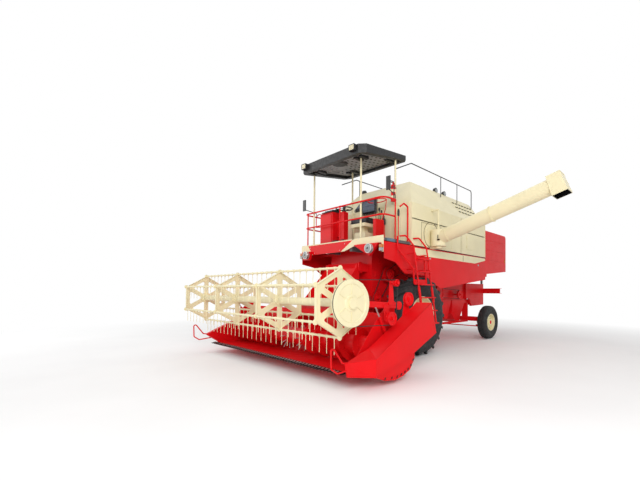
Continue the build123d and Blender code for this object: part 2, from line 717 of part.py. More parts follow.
def upper_outline(inset):
    """The tank's cross-section as (x, z) points, drawn in by inset."""
    wall_x = TANK_HALF_W - inset
    ridge_x = RIDGE_HALF_W - inset * 0.5
    shoulder_z = SHOULDER_Z - inset * 0.4
    return [(-wall_x, TANK_FLOOR_Z + inset), (-wall_x, shoulder_z), (-ridge_x, RIDGE_Z - inset),
            (ridge_x, RIDGE_Z - inset), (wall_x, shoulder_z), (wall_x, TANK_FLOOR_Z + inset)]


def tank_front_cut(inset):
    """Takes off what lies in front of the tank's sloping upper front."""
    front = TANK_FRONT_Y + inset
    ridge = RIDGE_FRONT_Y + inset
    return prism_x([(front, SHOULDER_Z), (ridge, RIDGE_Z), (ridge, RIDGE_Z + 400),
                    (front - 400, RIDGE_Z + 400), (front - 400, SHOULDER_Z)], -2 * TANK_HALF_W, 2 * TANK_HALF_W)


def seam(y0, y1):
    """The raised seam along both sides of the tank's sheets."""
    return mirrored(box(TANK_HALF_W - SHEET / 2, TANK_HALF_W + SEAM_T, y0, y1,
                        TANK_SEAM_Z - SEAM_W / 2, TANK_SEAM_Z + SEAM_W / 2))


def grain_tank():
    """The grain tank: open at the top inside its rim, with a flat floor."""
    outer = prism_y(upper_outline(0), TANK_FRONT_Y, TANK_REAR_Y) - tank_front_cut(0)
    inner = prism_y(upper_outline(SHEET), TANK_FRONT_Y + SHEET, TANK_REAR_Y - SHEET) - tank_front_cut(SHEET)
    mouth = box(-RIDGE_HALF_W + TANK_RIM, RIDGE_HALF_W - TANK_RIM, RIDGE_FRONT_Y + TANK_RIM, TANK_REAR_Y - TANK_RIM,
                RIDGE_Z - 200, RIDGE_Z + 10)
    save("grain_tank", outer - inner - mouth + seam(TANK_FRONT_Y, TANK_REAR_Y))


def louvres():
    """Rows of louvre hoods on the bay's left and right slopes."""
    slope = hypot(RIDGE_INSET, RIDGE_Z - SHOULDER_Z)
    up = (-RIDGE_INSET / slope, (RIDGE_Z - SHOULDER_Z) / slope)
    out = (up[1], -up[0])
    first = TANK_REAR_Y + (BAY_REAR_Y - TANK_REAR_Y - (LOUVRE_COUNT - 1) * LOUVRE_PITCH - LOUVRE_L) / 2
    hoods = []
    for share in LOUVRE_ROWS:
        x, z = TANK_HALF_W - RIDGE_INSET * share, SHOULDER_Z + (RIDGE_Z - SHOULDER_Z) * share

        def spot(rise, stand):
            return (x + up[0] * rise + out[0] * stand, z + up[1] * rise + out[1] * stand)
        outline = [spot(24, -BITE), spot(-24, -BITE), spot(-24, LOUVRE_OUT)]
        for n in range(LOUVRE_COUNT):
            y = first + n * LOUVRE_PITCH
            hoods.append(prism_y(outline, y, y + LOUVRE_L))
    return mirrored(fused(hoods))


def engine_housing():
    """The sheet bay behind the tank that covers the engine, open below, with louvres on its slopes."""
    start = TANK_REAR_Y
    outer = prism_y(upper_outline(0), start, BAY_REAR_Y)
    inner = prism_y(upper_outline(SHEET), start + SHEET, BAY_REAR_Y - SHEET)
    floor_hole = box(-HOUSE_HALF_W, HOUSE_HALF_W, start + 200, BAY_REAR_Y - 200, TANK_FLOOR_Z - 10, TANK_FLOOR_Z + 20)
    save("engine_housing", outer - inner - floor_hole + seam(start, BAY_REAR_Y) + louvres())


def engine_block():
    """The engine as one plain block on its two bearers."""
    middle = (TANK_REAR_Y + BAY_REAR_Y) / 2
    front, back = middle - ENGINE_W / 2, middle + ENGINE_W / 2
    block = box(-ENGINE_L / 2, ENGINE_L / 2, front, back, TANK_FLOOR_Z + 100, TANK_FLOOR_Z + 100 + ENGINE_H)
    for x in (-ENGINE_L / 2 + 80, ENGINE_L / 2 - 80):
        block += box(x - 40, x + 40, front, back, TANK_FLOOR_Z, TANK_FLOOR_Z + 110)
    save("engine_block", block)


def side_panels():
    """The long red skirt on each side, arched over the drive wheel, on hangers from the housing."""
    outline = [(PANEL_FRONT_Y, BAND_TOP_Z - 110), (PANEL_FRONT_Y, PANEL_ARCH_Z + 260), (-700, PANEL_ARCH_Z + 205),
               (-420, PANEL_ARCH_Z + 10), (270, PANEL_ARCH_Z - 15), (PANEL_LOW_Y, PANEL_LOW_Z),
               (BAY_REAR_Y, PANEL_REAR_Z), (BAY_REAR_Y, TANK_FLOOR_Z), (TANK_FRONT_Y - 40, TANK_FLOOR_Z),
               (TANK_FRONT_Y - 40, BAND_TOP_Z - 110)]
    panel = prism_x(outline, TANK_HALF_W - SHEET, TANK_HALF_W)
    h = HANGER_HALF
    high, low = TANK_FLOOR_Z - 100, PANEL_REAR_Z + 100
    spots = ((-500, high), (1100, high), (BAY_REAR_Y - 200, high), (1100, low), (BAY_REAR_Y - 200, low))
    hangers = fused([box(HOUSE_HALF_W, TANK_HALF_W - SHEET, y - h, y + h, z - h, z + h) for y, z in spots])
    save("side_panels", mirrored(panel + hangers))


def rear_hood():
    """The straw hood: two ribbed sides, a top and a rear wall, open below."""
    side = [(HOUSE_REAR_Y, TANK_FLOOR_Z - 20), (HOUSE_REAR_Y, HOOD_FRONT_BOTTOM_Z),
            (HOUSE_REAR_Y + 300, HOOD_FRONT_BOTTOM_Z + 60), (HOUSE_REAR_Y + 300, HOOD_FRONT_BOTTOM_Z + 130),
            (HOOD_REAR_Y, HOOD_BOTTOM_Z), (HOOD_REAR_Y, HOOD_TOP_Z), (HOUSE_REAR_Y, HOOD_TOP_Z)]
    outer = prism_x(side, -HOOD_HALF_W, HOOD_HALF_W)
    outer = fillet(outer.edges().filter_by(Axis.X).sort_by(Axis.Z)[-2:].sort_by(Axis.Y)[-1:], HOOD_CORNER_R)
    inner = box(-HOOD_HALF_W + SHEET, HOOD_HALF_W - SHEET, HOUSE_REAR_Y - 10, HOOD_REAR_Y - SHEET,
                HOOD_FRONT_BOTTOM_Z - 400, HOOD_TOP_Z - SHEET)
    inner = fillet(inner.edges().filter_by(Axis.X).sort_by(Axis.Z)[-2:].sort_by(Axis.Y)[-1:], HOOD_CORNER_R - SHEET)
    ribs = fused([box(HOOD_HALF_W - SHEET / 2, HOOD_HALF_W + RIB_T, HOUSE_REAR_Y + 60, HOOD_REAR_Y - HOOD_CORNER_R,
                      z - RIB_H / 2, z + RIB_H / 2) for z in HOOD_RIBS_Z])
    save("rear_hood", outer - inner + mirrored(ribs))


def straw_walkers():
    """Five walker troughs side by side, from the housing out under the hood, on a stand from the shoe."""
    width = 2 * HOUSE_HALF_W / WALKERS
    rear = SHOE_REAR_Y + 120
    walkers = []
    for n in range(WALKERS):
        x0 = -HOUSE_HALF_W + n * width + WALKER_GAP / 2
        x1 = x0 + width - WALKER_GAP
        trough = box(x0, x1, HOUSE_REAR_Y, rear, WALKER_Z, WALKER_Z + WALKER_H)
        trough -= box(x0 + SHEET, x1 - SHEET, HOUSE_REAR_Y + SHEET, rear - SHEET, WALKER_Z + SHEET, WALKER_Z + WALKER_H + 1)
        walkers.append(trough)
    low, high = WALKER_Z - 60, WALKER_Z + SHEET / 2
    bearer = box(-HOUSE_HALF_W + 10, HOUSE_HALF_W - 10, HOUSE_REAR_Y, HOUSE_REAR_Y + BEARER_W, low, high)
    stand_y = SHOE_REAR_Y - 20 - BEARER_W
    out = HOUSE_HALF_W + SHOE_WALL
    rear_bearer = box(-out, out, stand_y, stand_y + BEARER_W, low, high)
    stand = mirrored(box(HOUSE_HALF_W, out, stand_y, stand_y + BEARER_W, SHOE_TOP_Z, high))
    save("straw_walkers", fused(walkers) + bearer + rear_bearer + stand)


def cleaning_shoe():
    """The sieve box between the chassis rails and the walkers, with the crossbeam behind it."""
    base = HOUSE_BOTTOM_Z + 20
    out = HOUSE_HALF_W + SHOE_WALL
    side = [(HOUSE_REAR_Y, base), (HOUSE_REAR_Y, SHOE_TOP_Z), (SHOE_REAR_Y, SHOE_TOP_Z), (SHOE_REAR_Y, SHOE_REAR_LOW_Z),
            (HOUSE_REAR_Y + 320, SHOE_LOW_Z), (HOUSE_REAR_Y + 200, base)]
    wall = prism_x(side, HOUSE_HALF_W, out)
    floor = prism_x([(HOUSE_REAR_Y, base), (HOUSE_REAR_Y, SHOE_FLOOR_Z), (SHOE_REAR_Y, SHOE_FLOOR_Z),
                     (SHOE_REAR_Y, SHOE_FLOOR_Z - 60), (HOUSE_REAR_Y + 600, base)], -HOUSE_HALF_W - 1, HOUSE_HALF_W + 1)
    front = box(-HOUSE_HALF_W - 1, HOUSE_HALF_W + 1, HOUSE_REAR_Y, HOUSE_REAR_Y + 200, SHOE_FLOOR_Z - 1, SHOE_TOP_Z)
    low, high = BEAM_Z - BEAM_H / 2, BEAM_Z + BEAM_H / 2
    beam = box(-BEAM_HALF_L, BEAM_HALF_L, SHOE_REAR_Y, SHOE_REAR_Y + BEAM_W, low, high)
    beam -= box(-BEAM_HALF_L - 1, BEAM_HALF_L + 1, SHOE_REAR_Y + BEAM_WALL, SHOE_REAR_Y + BEAM_W + 1,
                low + BEAM_WALL, high - BEAM_WALL)
    feet = mirrored(box(RAIL_X - 40, RAIL_X + 40, HOUSE_REAR_Y + 100, HOUSE_REAR_Y + 200, RAIL_TOP, base + BITE))
    save("cleaning_shoe", mirrored(wall) + floor + front + beam + feet)


# ---------------------------------------------------------------- platform and canopy
def platform_deck():
    """The flat deck in front of the tank, on two bearers from the housing."""
    deck = box(-DECK_HALF_W, DECK_HALF_W, DECK_FRONT_Y, TANK_FRONT_Y - GAP, DECK_Z - DECK_THICK, DECK_Z)
    bearer = box(320, 380, DECK_FRONT_Y + 26, HOUSE_FRONT_Y, TANK_FLOOR_Z - 140, DECK_Z - DECK_THICK + BITE)
    save("platform_deck", deck + mirrored(bearer))


def front_panel():
    """The panel across the platform's front, stepped along its lower edge, with a lamp pod on each side."""
    out = TANK_HALF_W
    low, mid = PANEL_CORNER_Z, PANEL_MID_Z
    outline = [(-out, low), (-out, BAND_TOP_Z), (out, BAND_TOP_Z), (out, low), (out - PANEL_CORNER_W, low),
               (out - 70, mid + 88), (560, mid + 103), (130, mid), (-880, mid), (-900, low + 15), (-1200, low)]
    wall = prism_y(outline, DECK_FRONT_Y - SHEET, DECK_FRONT_Y)
    front, back = DECK_FRONT_Y - POD_DEPTH, DECK_FRONT_Y - SHEET / 2
    left = prism_y([(LAMP_X - 450, LAMP_Z + 100), (LAMP_X + 200, LAMP_Z + 95), (LAMP_X - 30, LAMP_Z - 135)], front, back)
    right = prism_y([(-LAMP_X - 200, LAMP_Z + 80), (-LAMP_X + 120, LAMP_Z + 80), (-LAMP_X + 60, LAMP_Z - 105),
                     (-LAMP_X - 150, LAMP_Z - 105)], front, back)
    save("front_panel", wall + left + right)


def lamps():
    """Two head lamps on the panel's pods, an indicator beside each, and two lamps on the canopy's front."""
    front = DECK_FRONT_Y - POD_DEPTH
    lamp = cylinder_y(front - LAMP_DEPTH, front, LAMP_X, LAMP_Z, LAMP_R)
    x, face = TANK_HALF_W - PANEL_CORNER_W / 2, DECK_FRONT_Y - SHEET
    indicator = box(x - 45, x + 20, face - 45, face, LAMP_Z - 55, LAMP_Z + 60)
    roof = [box(x - 75, x + 75, CANOPY_FRONT_Y - 60, CANOPY_FRONT_Y, CANOPY_TOP_Z[0] - 115, CANOPY_TOP_Z[0] - 5)
            for x in ROOF_LAMPS_X]
    save("lamps", pieces(mirrored(lamp), mirrored(indicator), *roof))


def control_console():
    """The red box with the gauges, the steering column bridged to it, and the levers beside the seat."""
    x0, x1, y0, y1, top = CONSOLE
    console = box(x0, x1, y0, y1, DECK_Z, top)
    half = COLUMN_HALF
    column = box(COLUMN_X - half, COLUMN_X + half, COLUMN_Y - half, COLUMN_Y + half, DECK_Z, COLUMN_TOP_Z)
    column -= cylinder_z(COLUMN_TOP_Z - 80, COLUMN_TOP_Z + 1, COLUMN_X, COLUMN_Y, STEERING_SHAFT_R + RUN_FIT)
    bridge = box(x1 - BITE, COLUMN_X, COLUMN_Y - 40, y1 - 10, DECK_Z + 200, top - 170)
    levers = [cylinder_z(DECK_Z, z - 20, x, y, BAR_R) + cylinder_z(z - 110, z, x, y, BAR_R + 8) for x, y, z in LEVERS]
    save("control_console", pieces(fused([console, column, bridge]), *levers))


def steering_wheel():
    """The wheel: a ring, three spokes and a hub whose shaft stands on the column."""
    grip = [(WHEEL_GRIP_R * cos(radians(45 * n)), WHEEL_R + WHEEL_GRIP_R * sin(radians(45 * n))) for n in range(8)]
    ring = Rot(0, 90, 0) * flat_ring(grip[::-1], WHEEL_FLATS)
    spokes = [Rot(0, 0, a) * box(0, WHEEL_R, -9, 9, -5, 5) for a in (90, 210, 330)]
    shaft = cylinder_z(COLUMN_TOP_Z - 70 - WHEEL_HUB_Z, 0, 0, 0, STEERING_SHAFT_R)
    save("steering_wheel", Pos(COLUMN_X, COLUMN_Y, WHEEL_HUB_Z) * fused([ring, Cylinder(30, 40), shaft] + spokes))


def seat():
    """The seat's frame on its pedestal, its two pads, and a third pad on the tank's sloping front."""
    half_w, half_l = SEAT_W / 2, SEAT_L / 2
    back_low, back_high = SEAT_BACK_Z
    back_y = SEAT_Y + half_l
    base = box(SEAT_X - 150, SEAT_X + 150, SEAT_Y - 130, SEAT_Y + 130, DECK_Z, SEAT_Z - 180)
    stem = box(SEAT_X - 60, SEAT_X + 60, SEAT_Y - 60, SEAT_Y + 60, SEAT_Z - 182, SEAT_Z - 68)
    pan = box(SEAT_X - half_w + 30, SEAT_X + half_w - 30, SEAT_Y - half_l + 20, back_y + 12, SEAT_Z - 70, SEAT_Z - GAP)
    back = box(SEAT_X - half_w + 40, SEAT_X + half_w - 40, back_y, back_y + 12, SEAT_Z - 70, back_high - 20)
    save("seat_frame", fused([base, stem, pan, back]))
    cushion = box(SEAT_X - half_w, SEAT_X + half_w, SEAT_Y - half_l, back_y - GAP, SEAT_Z, SEAT_Z + CUSHION_T)
    rest = box(SEAT_X - half_w, SEAT_X + half_w, back_y - PAD_T, back_y - GAP, back_low, back_high)
    x0, x1, z0, z1 = WALL_PAD
    lean = atan2(RIDGE_FRONT_Y - TANK_FRONT_Y, RIDGE_Z - SHOULDER_Z)
    wall_y = TANK_FRONT_Y + (z0 - SHOULDER_Z) * tan(lean)
    pad = Pos(0, wall_y, z0) * Rot(-degrees(lean), 0, 0) * box(x0, x1, -PAD_T, -GAP, 0, z1 - z0)
    save("seat_pads", pieces(cushion, rest, pad))


def platform_rails():
    """The guard rail round the platform's front and right side, with its posts and the entry handrail."""
    y_front = DECK_FRONT_Y + 40
    y_back = TANK_FRONT_Y - 60
    x_side = DECK_HALF_W - RAIL_INSET
    parts = []
    for z in (RAIL_TOP_Z, RAIL_MID_Z):
        parts.append(bent([(-x_side, y_back, z), (-x_side, y_front, z), (x_side, y_front, z),
                           (x_side, y_front + 330, z)], TUBE_R, RAIL_BEND))
    posts = [(-x_side + 120, y_front), (0, y_front), (x_side, y_front + 330), (-x_side, SEAT_Y), (-x_side, y_back)]
    for x, y in posts:
        parts.append(cylinder_z(DECK_Z, RAIL_TOP_Z, x, y, TUBE_R - 2))
    entry_y = TANK_FRONT_Y - 71
    entry = bent([(x_side, entry_y - 243, RAIL_TOP_Z - 102), (x_side, entry_y - 129, RAIL_TOP_Z - 25),
                  (x_side, entry_y, RAIL_TOP_Z - 60), (x_side, entry_y, DECK_Z)], TUBE_R, 45)
    save("platform_rails", pieces(fused(parts), entry))


def roof_z(y, edge):
    """The height at y of the roof's underside or top, whose front and rear edge heights are given."""
    share = (y - CANOPY_FRONT_Y) / (CANOPY_REAR_Y - CANOPY_FRONT_Y)
    return edge[0] + (edge[1] - edge[0]) * share


def roof_shape():
    """The moulded roof: a wedge-shaped rim with cut corners, a raised crown and a pocket below."""
    y0, y1 = CANOPY_FRONT_Y, CANOPY_REAR_Y
    side = [(y0, CANOPY_LOW_Z[0]), (y0, CANOPY_TOP_Z[0]), (y1, CANOPY_TOP_Z[1]), (y1, CANOPY_LOW_Z[1])]
    slab = prism_x(side, -CANOPY_HALF_W, CANOPY_HALF_W)
    slab = chamfer(slab.edges().filter_by(Axis.Z), CANOPY_CORNER)
    corners = {}
    for level, inset, rise in (("low", 0, -BITE), ("high", 110, CROWN_H)):
        for end, y in (("front", y0 + 18 + inset), ("rear", y1 - 13 - inset)):
            for turn, x in (("right", inset - CROWN_HALF_W), ("left", CROWN_HALF_W - inset)):
                corners[level, end, turn] = (x, y, roof_z(y, CANOPY_TOP_Z) + rise)
    around = [("front", "right"), ("front", "left"), ("rear", "left"), ("rear", "right")]
    faces = halves([("high", *corner) for corner in around]) + halves([("low", *corner) for corner in around[::-1]])
    for a, b in zip(around, around[1:] + around[:1]):
        faces += halves([("low", *a), ("low", *b), ("high", *b), ("high", *a)])
    p0, p1 = y0 + POCKET_INSET, y1 - POCKET_INSET
    pocket = prism_x([(p0, CANOPY_LOW_Z[0] - 10), (p0, roof_z(p0, CANOPY_LOW_Z) + POCKET_DEPTH),
                      (p1, roof_z(p1, CANOPY_LOW_Z) + POCKET_DEPTH), (p1, CANOPY_LOW_Z[0] - 10)],
                     POCKET_INSET - CANOPY_HALF_W, CANOPY_HALF_W - POCKET_INSET)
    return slab + faceted(corners, faces) - pocket


def canopy():
    """The roof and the four posts that carry it."""
    roof = roof_shape()
    save("canopy_roof", roof)
    posts = [cylinder_z(DECK_Z, roof_z(y, CANOPY_LOW_Z) + POCKET_DEPTH + 10, x, y, POST_R) - roof for x, y in CANOPY_POSTS]
    save("canopy_posts", pieces(*posts))


def deck_rail():
    """The black rail over the tank's top on each side, its feet on the tank's slopes."""
    top, tip_y, tip_z = DECK_RAIL_TOP_Z, CANOPY_POSTS[3][1], DECK_RAIL_TOP_Z - 270
    foot_z, rear_y = SHOULDER_Z + 400, BAY_REAR_Y - 50

    def side(x, start, posts):
        rail = bent([(x, *start), (x, DECK_RAIL_RISE_Y, top), (x, rear_y, top), (x, rear_y, foot_z)], THIN_TUBE_R, 60)
        return fused([rail] + [cylinder_z(foot_z, top, x, y, THIN_TUBE_R - 2) for y in posts])
    left = side(DECK_RAIL_X, (tip_y, tip_z), DECK_RAIL_POSTS)
    right = side(-DECK_RAIL_X, (tip_y + 70, tip_z + 40), (RIDGE_FRONT_Y + 40,) + DECK_RAIL_POSTS)
    body = prism_y(upper_outline(0), TANK_FRONT_Y, BAY_REAR_Y) - tank_front_cut(0)
    post = cylinder_z(DECK_Z, tip_z + 200, *CANOPY_POSTS[3], POST_R)
    save("deck_rail", pieces(left - body - post, right - body))


def ladder():
    """Two sloping stiles hooked over the platform's edge, with flat steps between them, and the kick frame inside."""
    parts = []
    slope = (LADDER_FOOT_X - LADDER_TOP_X) / (LADDER_TOP_Z - LADDER_FOOT_Z)

    def stile_x(z):
        return LADDER_TOP_X + (LADDER_TOP_Z - z) * slope
    for y in LADDER_Y:
        parts.append(bent([(TANK_HALF_W + TUBE_R + GAP, y - 260, DECK_Z + 70), (TANK_HALF_W + 60, y - 130, DECK_Z + 90),
                           (LADDER_TOP_X, y, LADDER_TOP_Z), (LADDER_FOOT_X, y, LADDER_FOOT_Z)], TUBE_R, 60))
        parts.append(between((stile_x(1350), y, 1350), (stile_x(1060), y, 1060), SOCKET_R))
        for z in (2000, 1700):
            parts.append(cylinder_x(TANK_HALF_W, stile_x(z), y, z, BAR_R))
    for z in LADDER_STEPS_Z:
        parts.append(box(stile_x(z) - 16, stile_x(z) + 70, LADDER_Y[0], LADDER_Y[1], z - 10, z + 10))
    near, z = TANK_HALF_W + TUBE_R, STIRRUP_Z
    frame = bent([(near, -660, z + 903), (near, -658, z + 680), (STIRRUP_X, -430, z + 280), (STIRRUP_X, -400, z),
                  (STIRRUP_X, 10, z), (STIRRUP_X, -60, z + 290), (near, 214, z + 602)], TUBE_R, 40)
    plate = box(STIRRUP_X - 3, STIRRUP_X + 3, -400, 0, z, z + 90)
    stays = [cylinder_x(TANK_HALF_W, near, -659, z + 710, BAR_R), cylinder_x(TANK_HALF_W, near, 200, z + 590, BAR_R)]
    save("ladder", pieces(fused(parts), fused([frame, plate] + stays)))


def mirrors():
    """A rear-view mirror on each side of the platform on its bracket."""
    x, y = DECK_HALF_W - RAIL_INSET, DECK_FRONT_Y + 370
    near = box(x + 28, x + 123, y - 304, y - 284, 3120, 3370)
    stalk = bent([(x, y, RAIL_TOP_Z + TUBE_R), (x, y, 3100), (x + 63, y - 289, 3150)], 8, 30)
    save("mirrors", mirrored(near + stalk))


def fire_extinguisher():
    """The extinguisher strapped to the canopy's left rear post."""
    x, post_y = CANOPY_POSTS[3]
    y = post_y - POST_R - BOTTLE_R - GAP
    foot, shoulder, top = BOTTLE_Z
    save("fire_extinguisher", cylinder_z(foot, shoulder, x, y, BOTTLE_R) + cylinder_z(shoulder, top, x, y, 18))


# ---------------------------------------------------------------- unloader
def auger_mount():
    """The outlet collar on the tank's side and the bracket with the unloading screw's pivot pin."""
    half = UNLOADER_DRUM_H / 2
    collar = cylinder_x(TANK_HALF_W, TANK_HALF_W + 18, UNLOADER_Y - 60, UNLOADER_Z + 40, UNLOADER_R + 60)
    shelf_z = UNLOADER_Z - half - 2
    shelf = box(TANK_HALF_W, UNLOADER_X, UNLOADER_Y - 60, UNLOADER_Y + 60, shelf_z - 40, shelf_z)
    cup = cylinder_z(shelf_z - 40, shelf_z, UNLOADER_X, UNLOADER_Y, 90)
    pin = cylinder_z(shelf_z - 10, shelf_z + 60, UNLOADER_X, UNLOADER_Y, UNLOADER_PIN_R)
    top_z = UNLOADER_Z + half + 2
    bracket = box(TANK_HALF_W, UNLOADER_X + 20, UNLOADER_Y - 20, UNLOADER_Y + 20, top_z + 420, top_z + 450)
    rod = cylinder_z(top_z - 42, top_z + 430, UNLOADER_X, UNLOADER_Y, UNLOADER_ROD_R)
    save("auger_mount", pieces(fused([collar, shelf, cup, pin]), fused([bracket, rod])))


def unloading_auger():
    """The turning drum, the sloping tube with its flanges, and the downward spout."""
    low_z, high_z = UNLOADER_Z - UNLOADER_DRUM_H / 2, UNLOADER_Z + UNLOADER_DRUM_H / 2
    drum = cylinder_z(low_z, high_z, UNLOADER_X, UNLOADER_Y, UNLOADER_DRUM_R)
    place = Pos(UNLOADER_X, UNLOADER_Y, UNLOADER_Z) * Rot(0, -UNLOADER_SLOPE, 0)
    back, low, half = UNLOADER_L - SPOUT_L, -UNLOADER_R - 60, UNLOADER_R + 10
    tube = place * cylinder_x(0, back + SHEET / 2, 0, 0, UNLOADER_R)
    for at in (UNLOADER_DRUM_R + 70, back / 2 + 60):
        tube += place * cylinder_x(at, at + FLANGE_T, 0, 0, UNLOADER_R + 14)
    spout = place * prism_y([(back, half), (UNLOADER_L + 10, half), (UNLOADER_L + 40, low), (back, low)], -half, half)
    hollow = place * prism_y([(back + SHEET, half - SHEET), (UNLOADER_L + 10 - SHEET, half - SHEET),
                              (UNLOADER_L + 40 - SHEET, low - 1), (back + SHEET, low - 1)], SHEET - half, half - SHEET)
    bore = cylinder_z(low_z - 5, low_z + 70, UNLOADER_X, UNLOADER_Y, UNLOADER_PIN_R + RUN_FIT)
    top_bore = cylinder_z(high_z - 50, high_z + 5, UNLOADER_X, UNLOADER_Y, UNLOADER_ROD_R + RUN_FIT)
    save("unloading_auger", (drum + tube + spout) - hollow - bore - top_bore)


# ---------------------------------------------------------------- header
def feeder_house():
    """The sloping conveyor duct, open at the front, on its two lift bosses."""
    t = SHEET
    front, low_front, low_rear = FEEDER_FRONT_Y, FEEDER_BOTTOM_FRONT_Z, FEEDER_BOTTOM_REAR_Z
    outer = [(LIFT_Y - 20, LIFT_Z + 90), (front, FEEDER_TOP_FRONT_Z), (front, low_front), (LIFT_Y - 60, low_rear),
             (LIFT_Y - 20, LIFT_Z - 100)]
    inner = [(LIFT_Y - 120, LIFT_Z - 10), (front - 1, FEEDER_TOP_FRONT_Z - t), (front - 1, low_front + t),
             (LIFT_Y - 120, low_rear + 40)]
    duct = prism_x(outer, -FEEDER_HALF_W, FEEDER_HALF_W)
    duct -= prism_x(inner, -FEEDER_HALF_W + t, FEEDER_HALF_W - t)
    duct += mirrored(cylinder_x(FEEDER_HALF_W - LIFT_BOSS_T, FEEDER_HALF_W, LIFT_Y, LIFT_Z, LIFT_BOSS_R))
    bore = cylinder_x(FEEDER_HALF_W - LIFT_BOSS_T - 1, FEEDER_HALF_W + 1, LIFT_Y, LIFT_Z, LIFT_PIN_R + RUN_FIT)
    y, z = LIFT_EYE
    under = (low_rear - low_front) / (LIFT_Y - 60 - front)
    lug = prism_x([(y - 60, z - 40), (y + 60, z - 40), (y + 60, low_front + (y + 60 - front) * under + 3),
                   (y - 60, low_front + (y - 60 - front) * under + 3)], LIFT_LUG_X, LIFT_LUG_X + LIFT_LUG_T)
    lug -= cylinder_x(LIFT_CYL_X, LIFT_CYL_X + 60, y, z, LIFT_EYE_PIN_R + LIFT_EYE_PLAY)
    save("feeder_house", duct - mirrored(bore) + mirrored(lug))


def header_body():
    """The header's floor, trough and back wall in one sheet, its two ends, the beams and the ribs behind."""
    t = SHEET
    floor_z = SCREW_Z - TROUGH_R
    back, top = BACK_WALL_Y, BACK_WALL_TOP_Z
    cos45 = cos(radians(45))
    mid_in = (SCREW_Y + TROUGH_R * cos45, SCREW_Z - TROUGH_R * cos45)
    mid_out = (SCREW_Y + (TROUGH_R + t) * cos45, SCREW_Z - (TROUGH_R + t) * cos45)
    lip = CUTTER_Z - 10
    section = Line((CUTTER_Y, lip), (SCREW_Y, floor_z)) + ThreePointArc((SCREW_Y, floor_z), mid_in, (back, SCREW_Z))
    section += Line((back, SCREW_Z), (back, top)) + Line((back, top), (back + t, top))
    section += Line((back + t, top), (back + t, SCREW_Z))
    section += ThreePointArc((back + t, SCREW_Z), mid_out, (SCREW_Y, floor_z - t))
    section += Line((SCREW_Y, floor_z - t), (CUTTER_Y, lip - t)) + Line((CUTTER_Y, lip - t), (CUTTER_Y, lip))
    sheet = extrude(Plane.YZ.offset(-HEADER_HALF_W) * make_face(section), amount=2 * HEADER_HALF_W)
    sheet -= box(-FEEDER_HALF_W + 15, FEEDER_HALF_W - 15, back - 200, back + 60,
                 FEEDER_BOTTOM_FRONT_Z + 20, FEEDER_TOP_FRONT_Z - 20)
    end_side = [(CUTTER_Y, CUTTER_Z - 40), (CUTTER_Y, CUTTER_Z + 60), (-2150, 760), (ARM_PIVOT_Y - 70, ARM_PIVOT_Z + 60),
                (ARM_PIVOT_Y + 70, ARM_PIVOT_Z + 60), (ARM_PIVOT_Y + 70, 300), (SCREW_Y, floor_z - 40)]
    end = prism_x(end_side, HEADER_HALF_W, HEADER_OUT_X)
    for y, z, r in ((ARM_PIVOT_Y, ARM_PIVOT_Z, ARM_TUBE_R), (SCREW_Y, SCREW_Z, SCREW_SHAFT_R),
                    (*REEL_CYL_BASE, REEL_BASE_PIN_R)):
        end -= cylinder_x(HEADER_HALF_W - 1, HEADER_OUT_X + 1, y, z, r + RUN_FIT)
    top_beam = box(FEEDER_HALF_W + GAP, HEADER_HALF_W, back + t / 2, back + 65, top - 60, top)
    ribs = [box(x - 5, x + 5, back + t / 2, back + 40, SCREW_Z + 20, top - 50)
            for x in (FEEDER_HALF_W + 120 + n * BACK_RIB_PITCH for n in range(5))]
    low_beam = box(-HEADER_HALF_W, HEADER_HALF_W, SCREW_Y + 70, SCREW_Y + 130, 112, 178)
    save("header_body", sheet + mirrored(fused([end, top_beam] + ribs)) + low_beam)


def flight(start, end):
    """One screw flight round the drum about the X axis from x = start to x = end, wound toward the middle."""
    steps = round(abs(end - start) / SCREW_PITCH * SCREW_STEPS)
    inner = (SCREW_DRUM_R + GAP) / cos(pi / SCREW_STEPS)
    corners, faces = {}, []
    for n in range(steps + 1):
        turn, x = 2 * pi * n / SCREW_STEPS, start + (end - start) * n / steps
        for side in (0, 1):
            for place, r in (("in", inner), ("out", SCREW_FLIGHT_R)):
                corners[n, side, place] = (x + side * FLIGHT_T, r * sin(turn), r * cos(turn))
    around = [(0, "in"), (0, "out"), (1, "out"), (1, "in")]
    for n in range(steps):
        for a, b in zip(around, around[1:] + around[:1]):
            faces += halves([(n, *a), (n, *b), (n + 1, *b), (n + 1, *a)])
    for n in (0, steps):
        faces += halves([(n, *corner) for corner in around])
    return Pos(0, SCREW_Y, SCREW_Z) * faceted(corners, faces)


def intake_screw():
    """The full-width intake screw: a drum with shafts in the end plates, and a flight on each side."""
    drum = cylinder_x(-HEADER_HALF_W + 20, HEADER_HALF_W - 20, SCREW_Y, SCREW_Z, SCREW_DRUM_R)
    shaft = cylinder_x(-HEADER_OUT_X + GAP, HEADER_OUT_X - GAP, SCREW_Y, SCREW_Z, SCREW_SHAFT_R)
    outer, inner = HEADER_HALF_W - 40, FEEDER_HALF_W - 20
    save("intake_screw", pieces(drum + shaft, flight(-outer, -inner), flight(outer - FLIGHT_T, inner - FLIGHT_T)))


